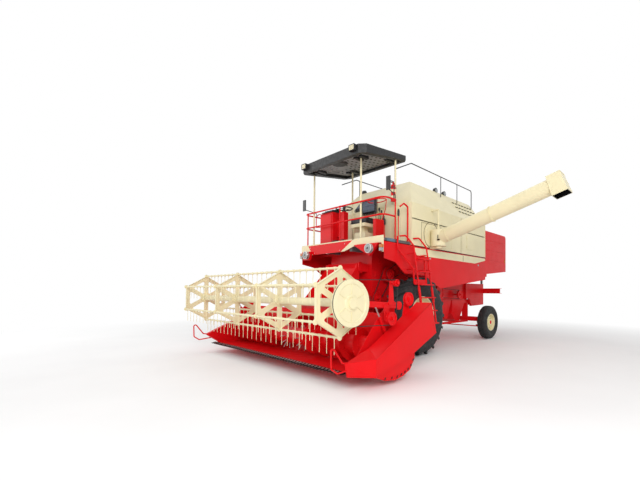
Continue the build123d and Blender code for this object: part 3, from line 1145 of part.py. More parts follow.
def cutter_bar():
    """The cutter bar with its row of pointed guards."""
    bar = box(-HEADER_HALF_W + 2, HEADER_HALF_W - 2, CUTTER_Y - 60, CUTTER_Y - GAP, CUTTER_Z - 20, CUTTER_Z - 8)
    guard = prism_x([(CUTTER_Y - 55, CUTTER_Z - 20), (CUTTER_Y - 55, CUTTER_Z + 6), (CUTTER_Y - 80, CUTTER_Z + 6),
                     (CUTTER_Y - 165, CUTTER_Z - 12), (CUTTER_Y - 90, CUTTER_Z - 22)], -10, 10)
    count = int((2 * HEADER_HALF_W - 60) // GUARD_PITCH)
    first = -count * GUARD_PITCH / 2
    guards = [Pos(first + n * GUARD_PITCH, 0, 0) * guard for n in range(count + 1)]
    save("cutter_bar", fused([bar] + guards))


def crop_hoop(x):
    """A D-shaped rod hoop at x ahead of a divider's nose, both its ends in the nose."""
    path = [(x, NOSE_Y + 190, NOSE_Z - 75), (x, NOSE_Y - 110, NOSE_Z - 103), (x, NOSE_Y - 210, NOSE_Z - 35),
            (x, NOSE_Y - 220, NOSE_Z + 265), (x, NOSE_Y - 30, NOSE_Z + 10), (x, NOSE_Y + 60, NOSE_Z)]
    return bent(path, HOOP_R, 30)


def header_cover():
    """The faceted cover outside the header's left end, with its pointed divider, skid and rear pulley."""
    (ridge_y, ridge_z), (top_y, top_z) = COVER_RIDGE, COVER_REAR_TOP
    rise = (top_z - ridge_z) / (top_y - ridge_y)
    side = [COVER_RIDGE, COVER_REAR_TOP, COVER_REAR_LOW, (-1776, 336), (-2244, 232), (ridge_y, COVER_LOW_Z)]
    body = prism_x(side, COVER_IN_X, COVER_OUT_X)
    inner_y = ridge_y + 158
    cut = Polyline((COVER_IN_X, inner_y), (COVER_OUT_X, ridge_y), (COVER_OUT_X, ridge_y - 100),
                   (COVER_IN_X, ridge_y - 100), close=True)
    body -= extrude(make_face(cut), amount=1500)
    corners = {
        "ridge_in": (COVER_IN_X, inner_y, ridge_z + 158 * rise),
        "ridge_out": (COVER_OUT_X, ridge_y, ridge_z),
        "low_out": (COVER_OUT_X, ridge_y, COVER_LOW_Z),
        "low_in": (COVER_IN_X, inner_y, COVER_LOW_Z + 46),
        "nose": (NOSE_X, NOSE_Y, NOSE_Z),
        "nose_low": (NOSE_X, NOSE_Y + 40, COVER_LOW_Z + 20),
    }
    faces = [["ridge_in", "ridge_out", "low_out", "low_in"], ["nose", "ridge_out", "ridge_in"],
             ["nose", "low_out", "ridge_out"], ["nose", "nose_low", "low_out"], ["nose_low", "low_in", "low_out"],
             ["nose", "ridge_in", "low_in"], ["nose", "low_in", "nose_low"]]
    wedge = faceted(corners, faces)
    skid = prism_x([(-2440, 172), (-2244, 234), (-1776, 338), (-1600, 411), (-1590, 300), (-1700, 150), (-1850, 88),
                    (-2026, 60), (-2250, 90)], COVER_IN_X + 40, COVER_OUT_X - 40)
    plates = [box(HEADER_OUT_X, COVER_IN_X + BITE, -1900, -1840, 400, 460),
              box(HEADER_OUT_X, COVER_IN_X + BITE, -2290, -2200, 260, 300)]
    y, z = BACK_PULLEY
    bracket = prism_x([(y - 90, ridge_z + (y - 90 - ridge_y) * rise - 20), (y + 90, ridge_z + (y + 90 - ridge_y) * rise - 20),
                       (y + 35, z + 20), (y - 35, z + 20)], COVER_IN_X + 1, COVER_IN_X + 11)
    wheel = pulley(COVER_IN_X + 55, y, z, BACK_PULLEY_R) + cylinder_x(COVER_IN_X + 10, COVER_IN_X + 90, y, z, DRIVE_SHAFT_R)
    save("header_cover", fused([body, wedge, skid, bracket, wheel, crop_hoop(NOSE_X)] + plates))


def divider():
    """The narrow pointed sheet divider outside the header's right end."""
    side = [(NOSE_Y, NOSE_Z), (-1990, 720), (-1990, 380), (-2300, 180), (-2480, 150)]
    save("divider", prism_x(side, -HEADER_OUT_X - DIVIDER_T, -HEADER_OUT_X) + crop_hoop(-HEADER_OUT_X - DIVIDER_T + 13))


# ---------------------------------------------------------------- reel
def arm_end(sign):
    """One reel arm, from the cross tube to the reel's shaft."""
    length = hypot(ARM_PIVOT_Y - REEL_Y, REEL_Z - ARM_PIVOT_Z)
    rise = degrees(atan2(REEL_Z - ARM_PIVOT_Z, ARM_PIVOT_Y - REEL_Y))
    x, half = sign * ARM_X, ARM_W / 2
    bar = Pos(x, ARM_PIVOT_Y, ARM_PIVOT_Z) * Rot(-rise, 0, 0) * Pos(0, -length / 2, 0) * Box(ARM_W, length, ARM_H)
    head = cylinder_x(x - half, x + half, REEL_Y, REEL_Z, 62)
    heel = cylinder_x(x - half, x + half, ARM_PIVOT_Y, ARM_PIVOT_Z, 60)
    shaft_hole = cylinder_x(x - 60, x + 60, REEL_Y, REEL_Z, REEL_SHAFT_R + RUN_FIT)
    eye_pin = cylinder_x(x, sign * (REEL_CYL_X - REEL_ROD_R - 4), *REEL_CYL_EYE, REEL_EYE_PIN_R)
    return (bar + head + heel) - shaft_hole + eye_pin


def belt_guide(y, z, r):
    """A pulley beside the left arm for the reel's belt, on a pin in a plate from the arm."""
    plate_x = ARM_X + ARM_W / 2
    arm_z = ARM_PIVOT_Z + (REEL_Z - ARM_PIVOT_Z) * (ARM_PIVOT_Y - y) / (ARM_PIVOT_Y - REEL_Y)
    tip = z + 30 if z > arm_z else z - 30
    plate = prism_x([(y - 55, arm_z), (y + 55, arm_z), (y + 30, tip), (y - 30, tip)], plate_x - BITE, plate_x + 12)
    return plate + cylinder_x(plate_x, DISC_X + PULLEY_W, y, z, DRIVE_SHAFT_R) + pulley(DISC_X, y, z, r)


def reel_arms():
    """Both reel arms on the cross tube that joins them through the header's ends, and the reel's belt and its guides."""
    tube = cylinder_x(-ARM_X, ARM_X, ARM_PIVOT_Y, ARM_PIVOT_Z, ARM_TUBE_R)
    save("reel_arms", fused([tube, arm_end(1), arm_end(-1), belt_guide(*REEL_IDLER), belt_guide(*REEL_HOOK)]))
    save("reel_belt", belt(DISC_X, [(REEL_Y, REEL_Z, DISC_R), REEL_IDLER, REEL_HOOK]))


def hexagon(r):
    """Six corners on radius r, the first straight up, as (y, z) offsets."""
    return [(r * sin(radians(60 * n)), r * cos(radians(60 * n))) for n in range(6)]


def spider():
    """One hexagonal sheet spider about the X axis, flanged, with lugs for the tine bars and rounded holes."""
    half = SPIDER_T / 2
    rim = prism_x(hexagon(REEL_R), -SPIDER_RIM_W / 2, SPIDER_RIM_W / 2)
    rim -= prism_x(hexagon(REEL_R - SPIDER_RIM_T / cos(pi / 6)), -SPIDER_RIM_W, SPIDER_RIM_W)
    plate = prism_x(hexagon(REEL_R), -half, half)
    for y, z in hexagon(REEL_R):
        plate += cylinder_x(-half, half, y, z, SPIDER_LUG_R)
    for n in range(6):
        a = radians(60 * n + 30)
        window = make_face(Polyline(*[(WINDOW_AT * sin(a) + WINDOW_R * sin(a + radians(120 * k)),
                                       WINDOW_AT * cos(a) + WINDOW_R * cos(a + radians(120 * k))) for k in (0.5, 1.5, 2.5)],
                                    close=True))
        window = fillet(window.vertices(), WINDOW_CORNER_R)
        plate -= extrude(Plane.YZ.offset(-SPIDER_T) * window, amount=2 * SPIDER_T)
    whole = fused([plate, rim, cylinder_x(-25, 25, 0, 0, REEL_TUBE_R + 25)])
    for y, z in hexagon(REEL_R):
        whole -= cylinder_x(-SPIDER_RIM_W, SPIDER_RIM_W, y, z, TINE_BAR_R + RUN_FIT)
    return whole


def reel():
    """The reel's shaft and central tube, its four spiders and the ribbed drive disc on the left end."""
    tube = cylinder_x(-SPIDER_X, SPIDER_X, 0, 0, REEL_TUBE_R)
    face = DISC_X + PULLEY_W / 2
    shaft = cylinder_x(-ARM_X - ARM_W / 2 - 10, face, 0, 0, REEL_SHAFT_R)
    shape = spider()
    plates = [Pos(x, 0, 0) * shape for x in (-SPIDER_X, -SPIDER_X / 3, SPIDER_X / 3, SPIDER_X)]
    boss = cylinder_x(face - 20, face + 25, 0, 0, 70)
    ribs = [Rot(60 * n, 0, 0) * box(face - 14, face - 3, -5, 5, 0.3 * DISC_R, 0.85 * DISC_R) for n in range(6)]
    save("reel_frame", Pos(0, REEL_Y, REEL_Z) * fused([tube, shaft, pulley(DISC_X, 0, 0, DISC_R), boss] + plates + ribs))


def tine_bars():
    """Six bars in the spiders' corners, each with a row of tines that hang straight down."""
    half = SPIDER_X + 12
    count = int(2 * (SPIDER_X - 60) // TINE_PITCH)
    first = -count * TINE_PITCH / 2
    bar = cylinder_x(-half, half, 0, 0, TINE_BAR_R)
    clear = SPIDER_RIM_W / 2 + TINE_R + 5
    tines = [cylinder_z(-TINE_L, 0, first + n * TINE_PITCH, 0, TINE_R) for n in range(count + 1)
             if all(abs(first + n * TINE_PITCH - x) > clear for x in (-SPIDER_X / 3, SPIDER_X / 3))]
    whole = fused([bar] + tines)
    for n, (y, z) in enumerate(hexagon(REEL_R)):
        save(f"tine_bar_{n + 1}", Pos(0, REEL_Y + y, REEL_Z + z) * whole)


# ---------------------------------------------------------------- rams
def ram(base, eye, x, barrel_r, rod_r, shares, pin_r):
    """A ram at x from its base eye to its rod's end, both (y, z).

    shares are the places of the barrel's mouth, the rod's inner end and the bore's bottom along that line.
    """
    b, e = (x, *base), (x, *eye)
    mouth, rod_start, bore_start = (along(b, e, share) for share in shares)
    barrel = between(b, mouth, barrel_r) + cylinder_x(x - barrel_r * 0.8, x + barrel_r * 0.8, *base, barrel_r)
    barrel -= between(bore_start, e, rod_r + RUN_FIT)
    if pin_r:
        barrel -= cylinder_x(x - barrel_r, x + barrel_r, *base, pin_r + RUN_FIT)
    return barrel, between(rod_start, e, rod_r)


def lift_rams():
    """The two rams under the feeder house; each rod's end carries a pin into the feeder's wider eye."""
    barrel, rod = ram(LIFT_BASE, LIFT_EYE, LIFT_CYL_X, LIFT_BARREL_R, LIFT_ROD_R, (0.70, 0.165, 0.13), LIFT_BASE_PIN_R)
    rod += cylinder_x(LIFT_CYL_X - LIFT_ROD_R, LIFT_LUG_X - GAP, *LIFT_EYE, LIFT_HEAD_R)
    rod += cylinder_x(LIFT_CYL_X, LIFT_LUG_X + LIFT_LUG_T + 4, *LIFT_EYE, LIFT_EYE_PIN_R)
    save("lift_barrels", mirrored(barrel))
    save("lift_rods", mirrored(rod))


def reel_rams():
    """The ram beside each end plate that lifts the reel's arm by a pin in the rod's wider eye."""
    barrel, rod = ram(REEL_CYL_BASE, REEL_CYL_EYE, REEL_CYL_X, REEL_BARREL_R, REEL_ROD_R, (0.60, 0.35, 0.25), 0)
    barrel += cylinder_x(HEADER_HALF_W, REEL_CYL_X, *REEL_CYL_BASE, REEL_BASE_PIN_R)
    half = REEL_ROD_R
    rod += cylinder_x(REEL_CYL_X - half, REEL_CYL_X + half, *REEL_CYL_EYE, REEL_EYE_PIN_R + EYE_PLAY + 9)
    rod -= cylinder_x(REEL_CYL_X - half - 1, REEL_CYL_X + half + 1, *REEL_CYL_EYE, REEL_EYE_PIN_R + EYE_PLAY)
    save("reel_barrels", mirrored(barrel))
    save("reel_rods", mirrored(rod))


# ---------------------------------------------------------------- build
for make in (drive_wheels, steered_wheels, knuckles, tie_rod, steer_axle, drive_axle, chassis_frame, thresher_housing,
             conveyors, side_drives, grain_tank, engine_housing, engine_block, side_panels, rear_hood, straw_walkers,
             cleaning_shoe, platform_deck, front_panel, lamps, control_console, steering_wheel, seat, platform_rails,
             canopy, deck_rail, ladder, mirrors, fire_extinguisher, auger_mount, unloading_auger, feeder_house,
             header_body, intake_screw, cutter_bar, header_cover, divider, reel_arms, reel, tine_bars, lift_rams,
             reel_rams):
    make()
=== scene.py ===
import json
from contextlib import contextmanager
from math import atan2, cos, exp, pi, radians, sin

import bmesh
import bpy
from mathutils import Matrix, Vector


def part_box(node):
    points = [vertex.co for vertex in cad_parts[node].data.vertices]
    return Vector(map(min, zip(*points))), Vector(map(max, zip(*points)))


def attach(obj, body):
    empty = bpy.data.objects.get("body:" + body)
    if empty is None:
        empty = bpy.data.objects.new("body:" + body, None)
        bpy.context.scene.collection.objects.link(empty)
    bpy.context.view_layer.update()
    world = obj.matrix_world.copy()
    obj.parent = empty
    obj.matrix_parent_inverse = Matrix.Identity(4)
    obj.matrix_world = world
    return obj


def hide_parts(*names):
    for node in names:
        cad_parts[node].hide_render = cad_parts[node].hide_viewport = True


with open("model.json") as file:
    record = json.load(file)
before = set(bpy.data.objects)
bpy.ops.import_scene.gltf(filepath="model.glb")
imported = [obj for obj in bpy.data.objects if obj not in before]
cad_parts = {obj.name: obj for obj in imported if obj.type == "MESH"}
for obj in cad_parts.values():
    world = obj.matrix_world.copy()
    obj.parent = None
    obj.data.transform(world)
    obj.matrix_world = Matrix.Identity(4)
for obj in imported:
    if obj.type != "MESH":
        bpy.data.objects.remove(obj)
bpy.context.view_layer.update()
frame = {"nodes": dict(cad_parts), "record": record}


# ---------------------------------------------------------------- materials
def linear(colour):
    """An sRGB colour from 0 to 1 as Blender's linear one."""
    return tuple(c / 12.92 if c <= 0.04045 else ((c + 0.055) / 1.055) ** 2.4 for c in colour) + (1.0,)


def shade(colour, share):
    """A share of an sRGB colour's brightness, as a linear colour."""
    return linear([c * share for c in colour])


class Nodes:
    """A short way to build the node tree of a material or a world."""

    def __init__(self, owner):
        owner.use_nodes = True
        self.owner = owner
        self.tree = owner.node_tree

    def add(self, kind, **settings):
        node = self.tree.nodes.new(kind)
        for key, value in settings.items():
            setattr(node, key, value)
        return node

    def link(self, output, target):
        self.tree.links.new(output, target)

    def plug(self, value, target):
        """Links an output to a socket, or sets the socket to a constant."""
        if isinstance(value, bpy.types.NodeSocket):
            self.link(value, target)
        else:
            target.default_value = value

    def math(self, operation, first, second):
        node = self.add("ShaderNodeMath", operation=operation)
        self.plug(first, node.inputs[0])
        self.plug(second, node.inputs[1])
        return node.outputs[0]

    def ramp(self, value, low, high, to_low=0.0, to_high=1.0):
        node = self.add("ShaderNodeMapRange")
        self.link(value, node.inputs["Value"])
        for key, number in (("From Min", low), ("From Max", high), ("To Min", to_low), ("To Max", to_high)):
            node.inputs[key].default_value = number
        return node.outputs["Result"]

    def show(self, output, share, first, second):
        """Gives the output node the first shader, or the second by its share."""
        node = self.add("ShaderNodeMixShader")
        for value, target in zip((share, first, second), node.inputs):
            self.link(value, target)
        self.link(node.outputs[0], self.tree.nodes[output].inputs["Surface"])


class Surface(Nodes):
    """The nodes of a new material, in the object's own coordinates."""

    def __init__(self, name):
        super().__init__(bpy.data.materials.new(name))
        self.bsdf = next(n for n in self.tree.nodes if n.type == "BSDF_PRINCIPLED")
        self.place = self.add("ShaderNodeTexCoord").outputs["Object"]

    def put(self, socket, value):
        self.plug(value, self.bsdf.inputs[socket])

    def noise(self, scale, detail=3.0, roughness=0.5, stretch=None):
        node = self.add("ShaderNodeTexNoise")
        node.inputs["Scale"].default_value = scale
        node.inputs["Detail"].default_value = detail
        node.inputs["Roughness"].default_value = roughness
        source = self.place
        if stretch:
            mapping = self.add("ShaderNodeMapping")
            mapping.inputs["Scale"].default_value = stretch
            self.link(source, mapping.inputs["Vector"])
            source = mapping.outputs["Vector"]
        self.link(source, node.inputs["Vector"])
        return node.outputs["Fac"]

    def mix(self, share, first, second):
        """A blend of two colours; sockets 6 and 7 and output 2 are the node's colour ones."""
        node = self.add("ShaderNodeMix", data_type="RGBA")
        self.plug(share, node.inputs[0])
        self.plug(first, node.inputs[6])
        self.plug(second, node.inputs[7])
        return node.outputs[2]

    def height(self):
        node = self.add("ShaderNodeSeparateXYZ")
        self.link(self.place, node.inputs[0])
        return node.outputs["Z"]

    def bump(self, value, strength, distance):
        node = self.add("ShaderNodeBump")
        node.inputs["Strength"].default_value = strength
        node.inputs["Distance"].default_value = distance
        self.link(value, node.inputs["Height"])
        self.link(node.outputs["Normal"], self.bsdf.inputs["Normal"])


def paint(name, colour, dust=0.07, gloss=0.34, dirt=(0.36, 0.30, 0.23)):
    """Sprayed enamel: slow colour drift, dust that thickens low down, faint waves and small chips."""
    n = Surface(name)
    drift = n.ramp(n.noise(1.3, 4, 0.6), 0.35, 0.65)
    tone = n.mix(drift, shade(colour, 0.96), linear(colour))
    streaks = n.ramp(n.noise(5, 3, 0.5, (1.0, 1.0, 0.22)), 0.45, 0.80)
    low = n.ramp(n.height(), 1.9, 0.15, 0.25, 1.0)
    film = n.math("MULTIPLY", n.math("MULTIPLY", streaks, low), dust)
    tone = n.mix(film, tone, linear(dirt))
    chips = n.ramp(n.noise(45, 2, 0.5), 0.74, 0.77, 0.0, 0.3)
    n.put("Base Color", n.mix(chips, tone, shade(colour, 0.55)))
    sheen = n.ramp(n.noise(5, 3), 0.3, 0.7, gloss - 0.06, gloss + 0.08)
    n.put("Roughness", n.math("ADD", sheen, n.math("MULTIPLY", film, 1.2)))
    n.put("Specular IOR Level", 0.08)
    n.put("Coat Weight", 0.3)
    n.put("Coat IOR", 1.25)
    n.put("Coat Roughness", 0.18)
    n.bump(n.noise(7, 2), 0.08, 0.004)
    return n.owner


def moulded(name, colour, roughness=0.55, grain=420, depth=0.25):
    """Moulded plastic or vinyl with a fine cast grain and scuffs."""
    n = Surface(name)
    scuffs = n.ramp(n.noise(11, 5, 0.7), 0.5, 0.8, 0.0, 0.35)
    n.put("Base Color", n.mix(scuffs, linear(colour), linear([min(1, c * 1.5 + 0.05) for c in colour])))
    n.put("Roughness", n.ramp(n.noise(24, 3), 0.3, 0.7, roughness - 0.08, roughness + 0.1))
    n.bump(n.noise(grain, 2), depth, 0.001)
    return n.owner


def rubber(name):
    """Tyre rubber: near black, greyer with dust in patches."""
    n = Surface(name)
    patches = n.ramp(n.noise(6, 5, 0.7), 0.45, 0.8, 0.0, 0.5)
    n.put("Base Color", n.mix(patches, linear((0.10, 0.103, 0.108)), linear((0.25, 0.25, 0.245))))
    n.put("Roughness", n.ramp(n.noise(18, 3), 0.3, 0.7, 0.58, 0.82))
    n.bump(n.noise(160, 3), 0.25, 0.002)
    return n.owner


def metal(name, colour, roughness=0.35):
    """Bare or plated steel with a fine grain and a little tarnish."""
    n = Surface(name)
    tarnish = n.ramp(n.noise(14, 4, 0.65), 0.45, 0.75, 0.0, 0.5)
    n.put("Base Color", n.mix(tarnish, linear(colour), shade(colour, 0.62)))
    n.put("Metallic", 0.9)
    n.put("Roughness", n.ramp(n.noise(120, 2), 0.3, 0.7, roughness - 0.1, roughness + 0.12))
    n.bump(n.noise(300, 2), 0.08, 0.001)
    return n.owner


def glassy(name, colour):
    """A moulded lens: fine upright ribs under a hard gloss."""
    n = Surface(name)
    n.put("Base Color", n.mix(n.ramp(n.noise(60, 2), 0.35, 0.65), linear(colour), shade(colour, 0.86)))
    n.put("Transmission Weight", 0.25)
    n.put("Roughness", n.ramp(n.noise(30, 2), 0.3, 0.7, 0.05, 0.14))
    ribs = n.add("ShaderNodeTexWave", wave_type="BANDS", bands_direction="X")
    ribs.inputs["Scale"].default_value = 26
    n.link(n.place, ribs.inputs["Vector"])
    n.bump(ribs.outputs["Fac"], 0.25, 0.002)
    return n.owner


RED = paint("red_enamel", (0.89, 0.075, 0.10))
CREAM = paint("cream_enamel", (0.94, 0.90, 0.745), dust=0.12, dirt=(0.66, 0.57, 0.40))
BLACK = paint("black_enamel", (0.10, 0.10, 0.105), dust=0.2)
# seam_shadow: cream darkened to paint the shadow in sheet seams
SEAM_SHADOW = paint("seam_shadow", (0.50, 0.44, 0.30), dust=0.2)
DECK = paint("deck_enamel", (0.42, 0.42, 0.42), dust=0.4, gloss=0.5)
PLASTIC = moulded("black_plastic", (0.085, 0.085, 0.09), 0.42)
CANOPY = moulded("canopy_moulding", (0.115, 0.116, 0.12))
LINING = moulded("canopy_lining", (0.52, 0.52, 0.525), 0.6)
VINYL = moulded("seat_vinyl", (0.10, 0.11, 0.13), 0.5, 700, 0.35)
QUILT = moulded("quilted_vinyl", (0.33, 0.37, 0.43), 0.55, 600, 0.35)
RUBBER = rubber("tyre_rubber")
STEEL = metal("bright_steel", (0.78, 0.78, 0.77))
PLATE = metal("blank_plate", (0.42, 0.52, 0.60), 0.4)
LENS_CLEAR = glassy("clear_lens", (0.74, 0.76, 0.76))
LENS_WARM = glassy("warm_lens", (0.95, 0.90, 0.72))
AMBER = glassy("amber_lens", (0.93, 0.50, 0.12))
DIAL = glassy("dial_glass", (0.35, 0.45, 0.55))

# The slot that each material stands for. The first one of a slot is what its CAD nodes wear.
SLOT_OF = {RED: "red_paint", CREAM: "cream_paint", SEAM_SHADOW: "cream_paint", BLACK: "black_paint",
           DECK: "deck_paint", PLASTIC: "black_plastic", CANOPY: "black_plastic", LINING: "black_plastic",
           VINYL: "black_vinyl", QUILT: "black_vinyl", RUBBER: "rubber", STEEL: "steel", PLATE: "steel",
           LENS_CLEAR: "lamp_glass", LENS_WARM: "lamp_glass", AMBER: "lamp_glass", DIAL: "lamp_glass"}
OWN_FINISH = {"canopy_roof": CANOPY, "lamps": PLASTIC, "cutter_bar": BLACK}

for part in frame["record"]["subparts"]:
    usual = next(material for material, slot in SLOT_OF.items() if slot == part["material_slot"])
    worn = frame["nodes"][part["node"]].data.materials
    worn.clear()
    worn.append(OWN_FINISH.get(part["node"], usual))


# ---------------------------------------------------------------- mesh pieces
@contextmanager
def piece(name, material, body="chassis", bevel=0.0, smooth=False):
    """A bmesh to fill. It becomes a piece that rides on a body, in one material or a tuple of them."""
    bm = bmesh.new()
    yield bm
    bmesh.ops.remove_doubles(bm, verts=bm.verts, dist=1e-5)
    bmesh.ops.recalc_face_normals(bm, faces=bm.faces)
    mesh = bpy.data.meshes.new(name)
    bm.to_mesh(mesh)
    bm.free()
    obj = bpy.data.objects.new(name, mesh)
    bpy.context.scene.collection.objects.link(obj)
    materials = material if isinstance(material, tuple) else (material,)
    for each in materials:
        mesh.materials.append(each)
    for face in mesh.polygons:
        face.use_smooth = smooth
    if bevel:
        round_off = obj.modifiers.new("edges", "BEVEL")
        round_off.width = bevel
        round_off.segments = 2
        round_off.limit_method = "ANGLE"
    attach(obj, body)


def spot(axis, u, v, w):
    """The point at w along the axis whose other two coordinates, in order, are u and v."""
    return {"x": (w, u, v), "y": (u, w, v), "z": (u, v, w)}[axis]


def loft(bm, rings, closed=False):
    """Rings of points joined into a solid, with capped ends unless the last ring meets the first."""
    rings = [[bm.verts.new(p) for p in ring] for ring in rings]
    if not closed:
        bm.faces.new(rings[0][::-1])
        bm.faces.new(rings[-1])
    for one, two in zip(rings, rings[1:] + (rings[:1] if closed else [])):
        for n in range(len(one)):
            m = (n + 1) % len(one)
            bm.faces.new((one[n], one[m], two[m], two[n]))


def plate(bm, outline, axis, low, high):
    """An outline of points made solid along an axis."""
    loft(bm, [[spot(axis, u, v, w) for u, v in outline] for w in (low, high)])


def block(bm, x, y, z):
    """A box between two places along each axis."""
    plate(bm, ((x[0], y[0]), (x[1], y[0]), (x[1], y[1]), (x[0], y[1])), "z", *z)


def around(count, r, u=0.0, v=0.0):
    """Points round a circle about (u, v), evenly spaced from its top."""
    return [(u + r * sin(2 * pi * n / count), v + r * cos(2 * pi * n / count)) for n in range(count)]


def turned(bm, axis, u, v, start, profile, sides=24, way=1, squeeze=1.0):
    """A solid of revolution about a line along an axis through (u, v).

    The profile's (place, radius) pairs are measured from the start, forward or, with way -1, back.
    Squeeze is the share of the radius along the first of the other two axes.
    """
    turns = [2 * pi * n / sides for n in range(sides)]
    loft(bm, [[spot(axis, u + r * cos(a) * squeeze, v + r * sin(a), start + way * w) for a in turns]
              for w, r in profile])


def tube(bm, points, r, sides=8, closed=False):
    """A round bar along points, with mitred corners."""
    points = [Vector(p) for p in points]
    count = len(points)
    turns = [2 * pi * k / sides for k in range(sides)]
    rings, up = [], None
    for n, here in enumerate(points):
        before = points[n - 1] if n or closed else here
        after = points[(n + 1) % count] if n < count - 1 or closed else here
        way = (after - before).normalized()
        if up is None:
            up = way.orthogonal().normalized()
        up = (up - way * up.dot(way)).normalized()
        side = way.cross(up)
        rings.append([here + (up * cos(a) + side * sin(a)) * r for a in turns])
    loft(bm, rings, closed)


def bolt(bm, axis, u, v, w, r=0.011, rise=0.007):
    """A hexagonal bolt head on a washer, standing from w along the axis by rise (its sign is the side)."""
    turned(bm, axis, u, v, w, ((0, r * 1.35), (rise * 0.25, r * 1.3)), 12)
    turned(bm, axis, u, v, w, ((rise * 0.2, r), (rise * 0.85, r), (rise, r * 0.8)), 6)


def row(start, end, count):
    """Evenly spaced numbers from start to end."""
    return [start + (end - start) * n / (count - 1) for n in range(count)]


def bounds_of(node):
    """A CAD node's low and high corners."""
    low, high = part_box(node)
    return Vector(low), Vector(high)


SIDES = (("left", 1), ("right", -1))
PANEL = bounds_of("front_panel")
TANK = bounds_of("grain_tank")
BAY = bounds_of("engine_housing")
ROOF = bounds_of("canopy_roof")
COVER = bounds_of("header_cover")
SIDE_X = bounds_of("side_panels")[1].x
PANEL_FACE_Y = -1.0312              # the front panel's face, which its trim is laid on
STRIPE = 0.0016                     # how far a laid-on stripe stands out
TANK_SHOULDER_Z = 3.06              # where the tank's sides and front start to slope in
RIDGE_Z = 3.70
RIDGE_Y = 0.38
RIDGE_INSET = SIDE_X - 0.76
LAMP_X, LAMP_Z = 0.965, 2.058
ROOF_LAMPS_X, ROOF_LAMP_Z = (0.733, -0.75), 3.917
WORK_LAMP_Z = 3.74
DECK_Z = 2.25
COLUMN = (-0.19, -0.70)             # the steering column's (x, y)
FEEDER_X = 0.470                    # the sides of the feeder house, header, housing and hood
HEADER_X = 2.041
HOUSING_X = 0.620
HOOD_X = 1.15
DRIVE_WHEEL_Z = 0.78
STEER_WHEEL = (1.205, 3.35, 0.448)
REEL = (-2.79, 1.117)               # the (y, z) of the reel's and the screw's lines
SCREW = (-2.02, 0.455)
SPIDERS_X = (2.079, 0.693, -0.693, -2.079)
UNLOADER = Vector((1.43, 0.5, 2.385))
UNLOADER_RISE = radians(16.4)


# ---------------------------------------------------------------- body
def front_trim():
    """The cream band, slanted stripes and corner strips laid on the front panel, and its bolts."""
    top, low = PANEL[1].z, PANEL[1].z - 0.022
    proud = PANEL_FACE_Y - STRIPE
    with piece("front_trim", CREAM, bevel=0.0006) as bm:
        for outline in (
                ((-1.03, low), (-1.03, top), (0.46, top), (0.46, low)),
                ((0.43, top), (SIDE_X, top), (SIDE_X, 2.158), (0.56, 2.172), (0.20, 2.068), (0.09, 2.068),
                 (0.43, low)),
                ((-1.03, top), (-SIDE_X, top), (-SIDE_X, 2.15), (-1.10, 2.15), (-0.90, 2.066),
                 (-0.85, 2.066), (-1.01, low)),
                ((1.197, 2.158), (SIDE_X, 2.158), (SIDE_X, 1.987), (1.203, 1.987)),
                ((-1.203, 1.987), (-SIDE_X, 1.987), (-SIDE_X, 2.15), (-1.197, 2.15))):
            plate(bm, outline, "y", proud, PANEL_FACE_Y)
    with piece("front_panel_bolts", STEEL) as bm:
        for x in row(-1.2, 1.2, 9):
            bolt(bm, "y", x, top - 0.011, proud, 0.006, -0.004)
        for x, z in ((-0.93, 2.22), (0.2, 2.22), (-0.78, 2.10), (0.05, 2.10)):
            bolt(bm, "y", x, z, PANEL_FACE_Y, 0.007, -0.004)


def side_stripes():
    """The cream stripe along each side panel, the dark joint above, its divider, round marks and bolts."""
    stripe = ((-0.02, 2.003), (-0.14, 2.150), (3.075, 2.166), (3.092, 2.112), (2.50, 1.998))
    mark = ((0, 0.026), (0.006, 0.025), (0.009, 0.018))
    edge = ((0.95, 1.375), (1.55, 1.450), (2.15, 1.523), (2.75, 1.592), (3.05, 1.625), (3.07, 1.75),
            (3.07, 1.9), (3.07, 2.05))
    for name, sign in SIDES:
        x = sign * SIDE_X
        with piece(f"side_stripe_{name}", CREAM, bevel=0.0006) as bm:
            plate(bm, stripe, "x", x, x + sign * STRIPE)
        with piece(f"side_joint_{name}", BLACK, bevel=0.001) as bm:
            block(bm, (x, x + sign * 0.004), (-0.2, 3.095), (2.176, 2.196))
            block(bm, (x + sign * 0.001, x + sign * 0.003), (1.872, 1.890), (2.010, 2.142))
        with piece(f"side_marks_{name}", LENS_CLEAR) as bm:
            for y in (0.456, 2.681):
                turned(bm, "x", y, 1.964, x, mark, 20, sign)
        with piece(f"side_bolts_{name}", RED) as bm:
            for y, z in edge:
                bolt(bm, "x", y, z, x, 0.008, sign * 0.005)


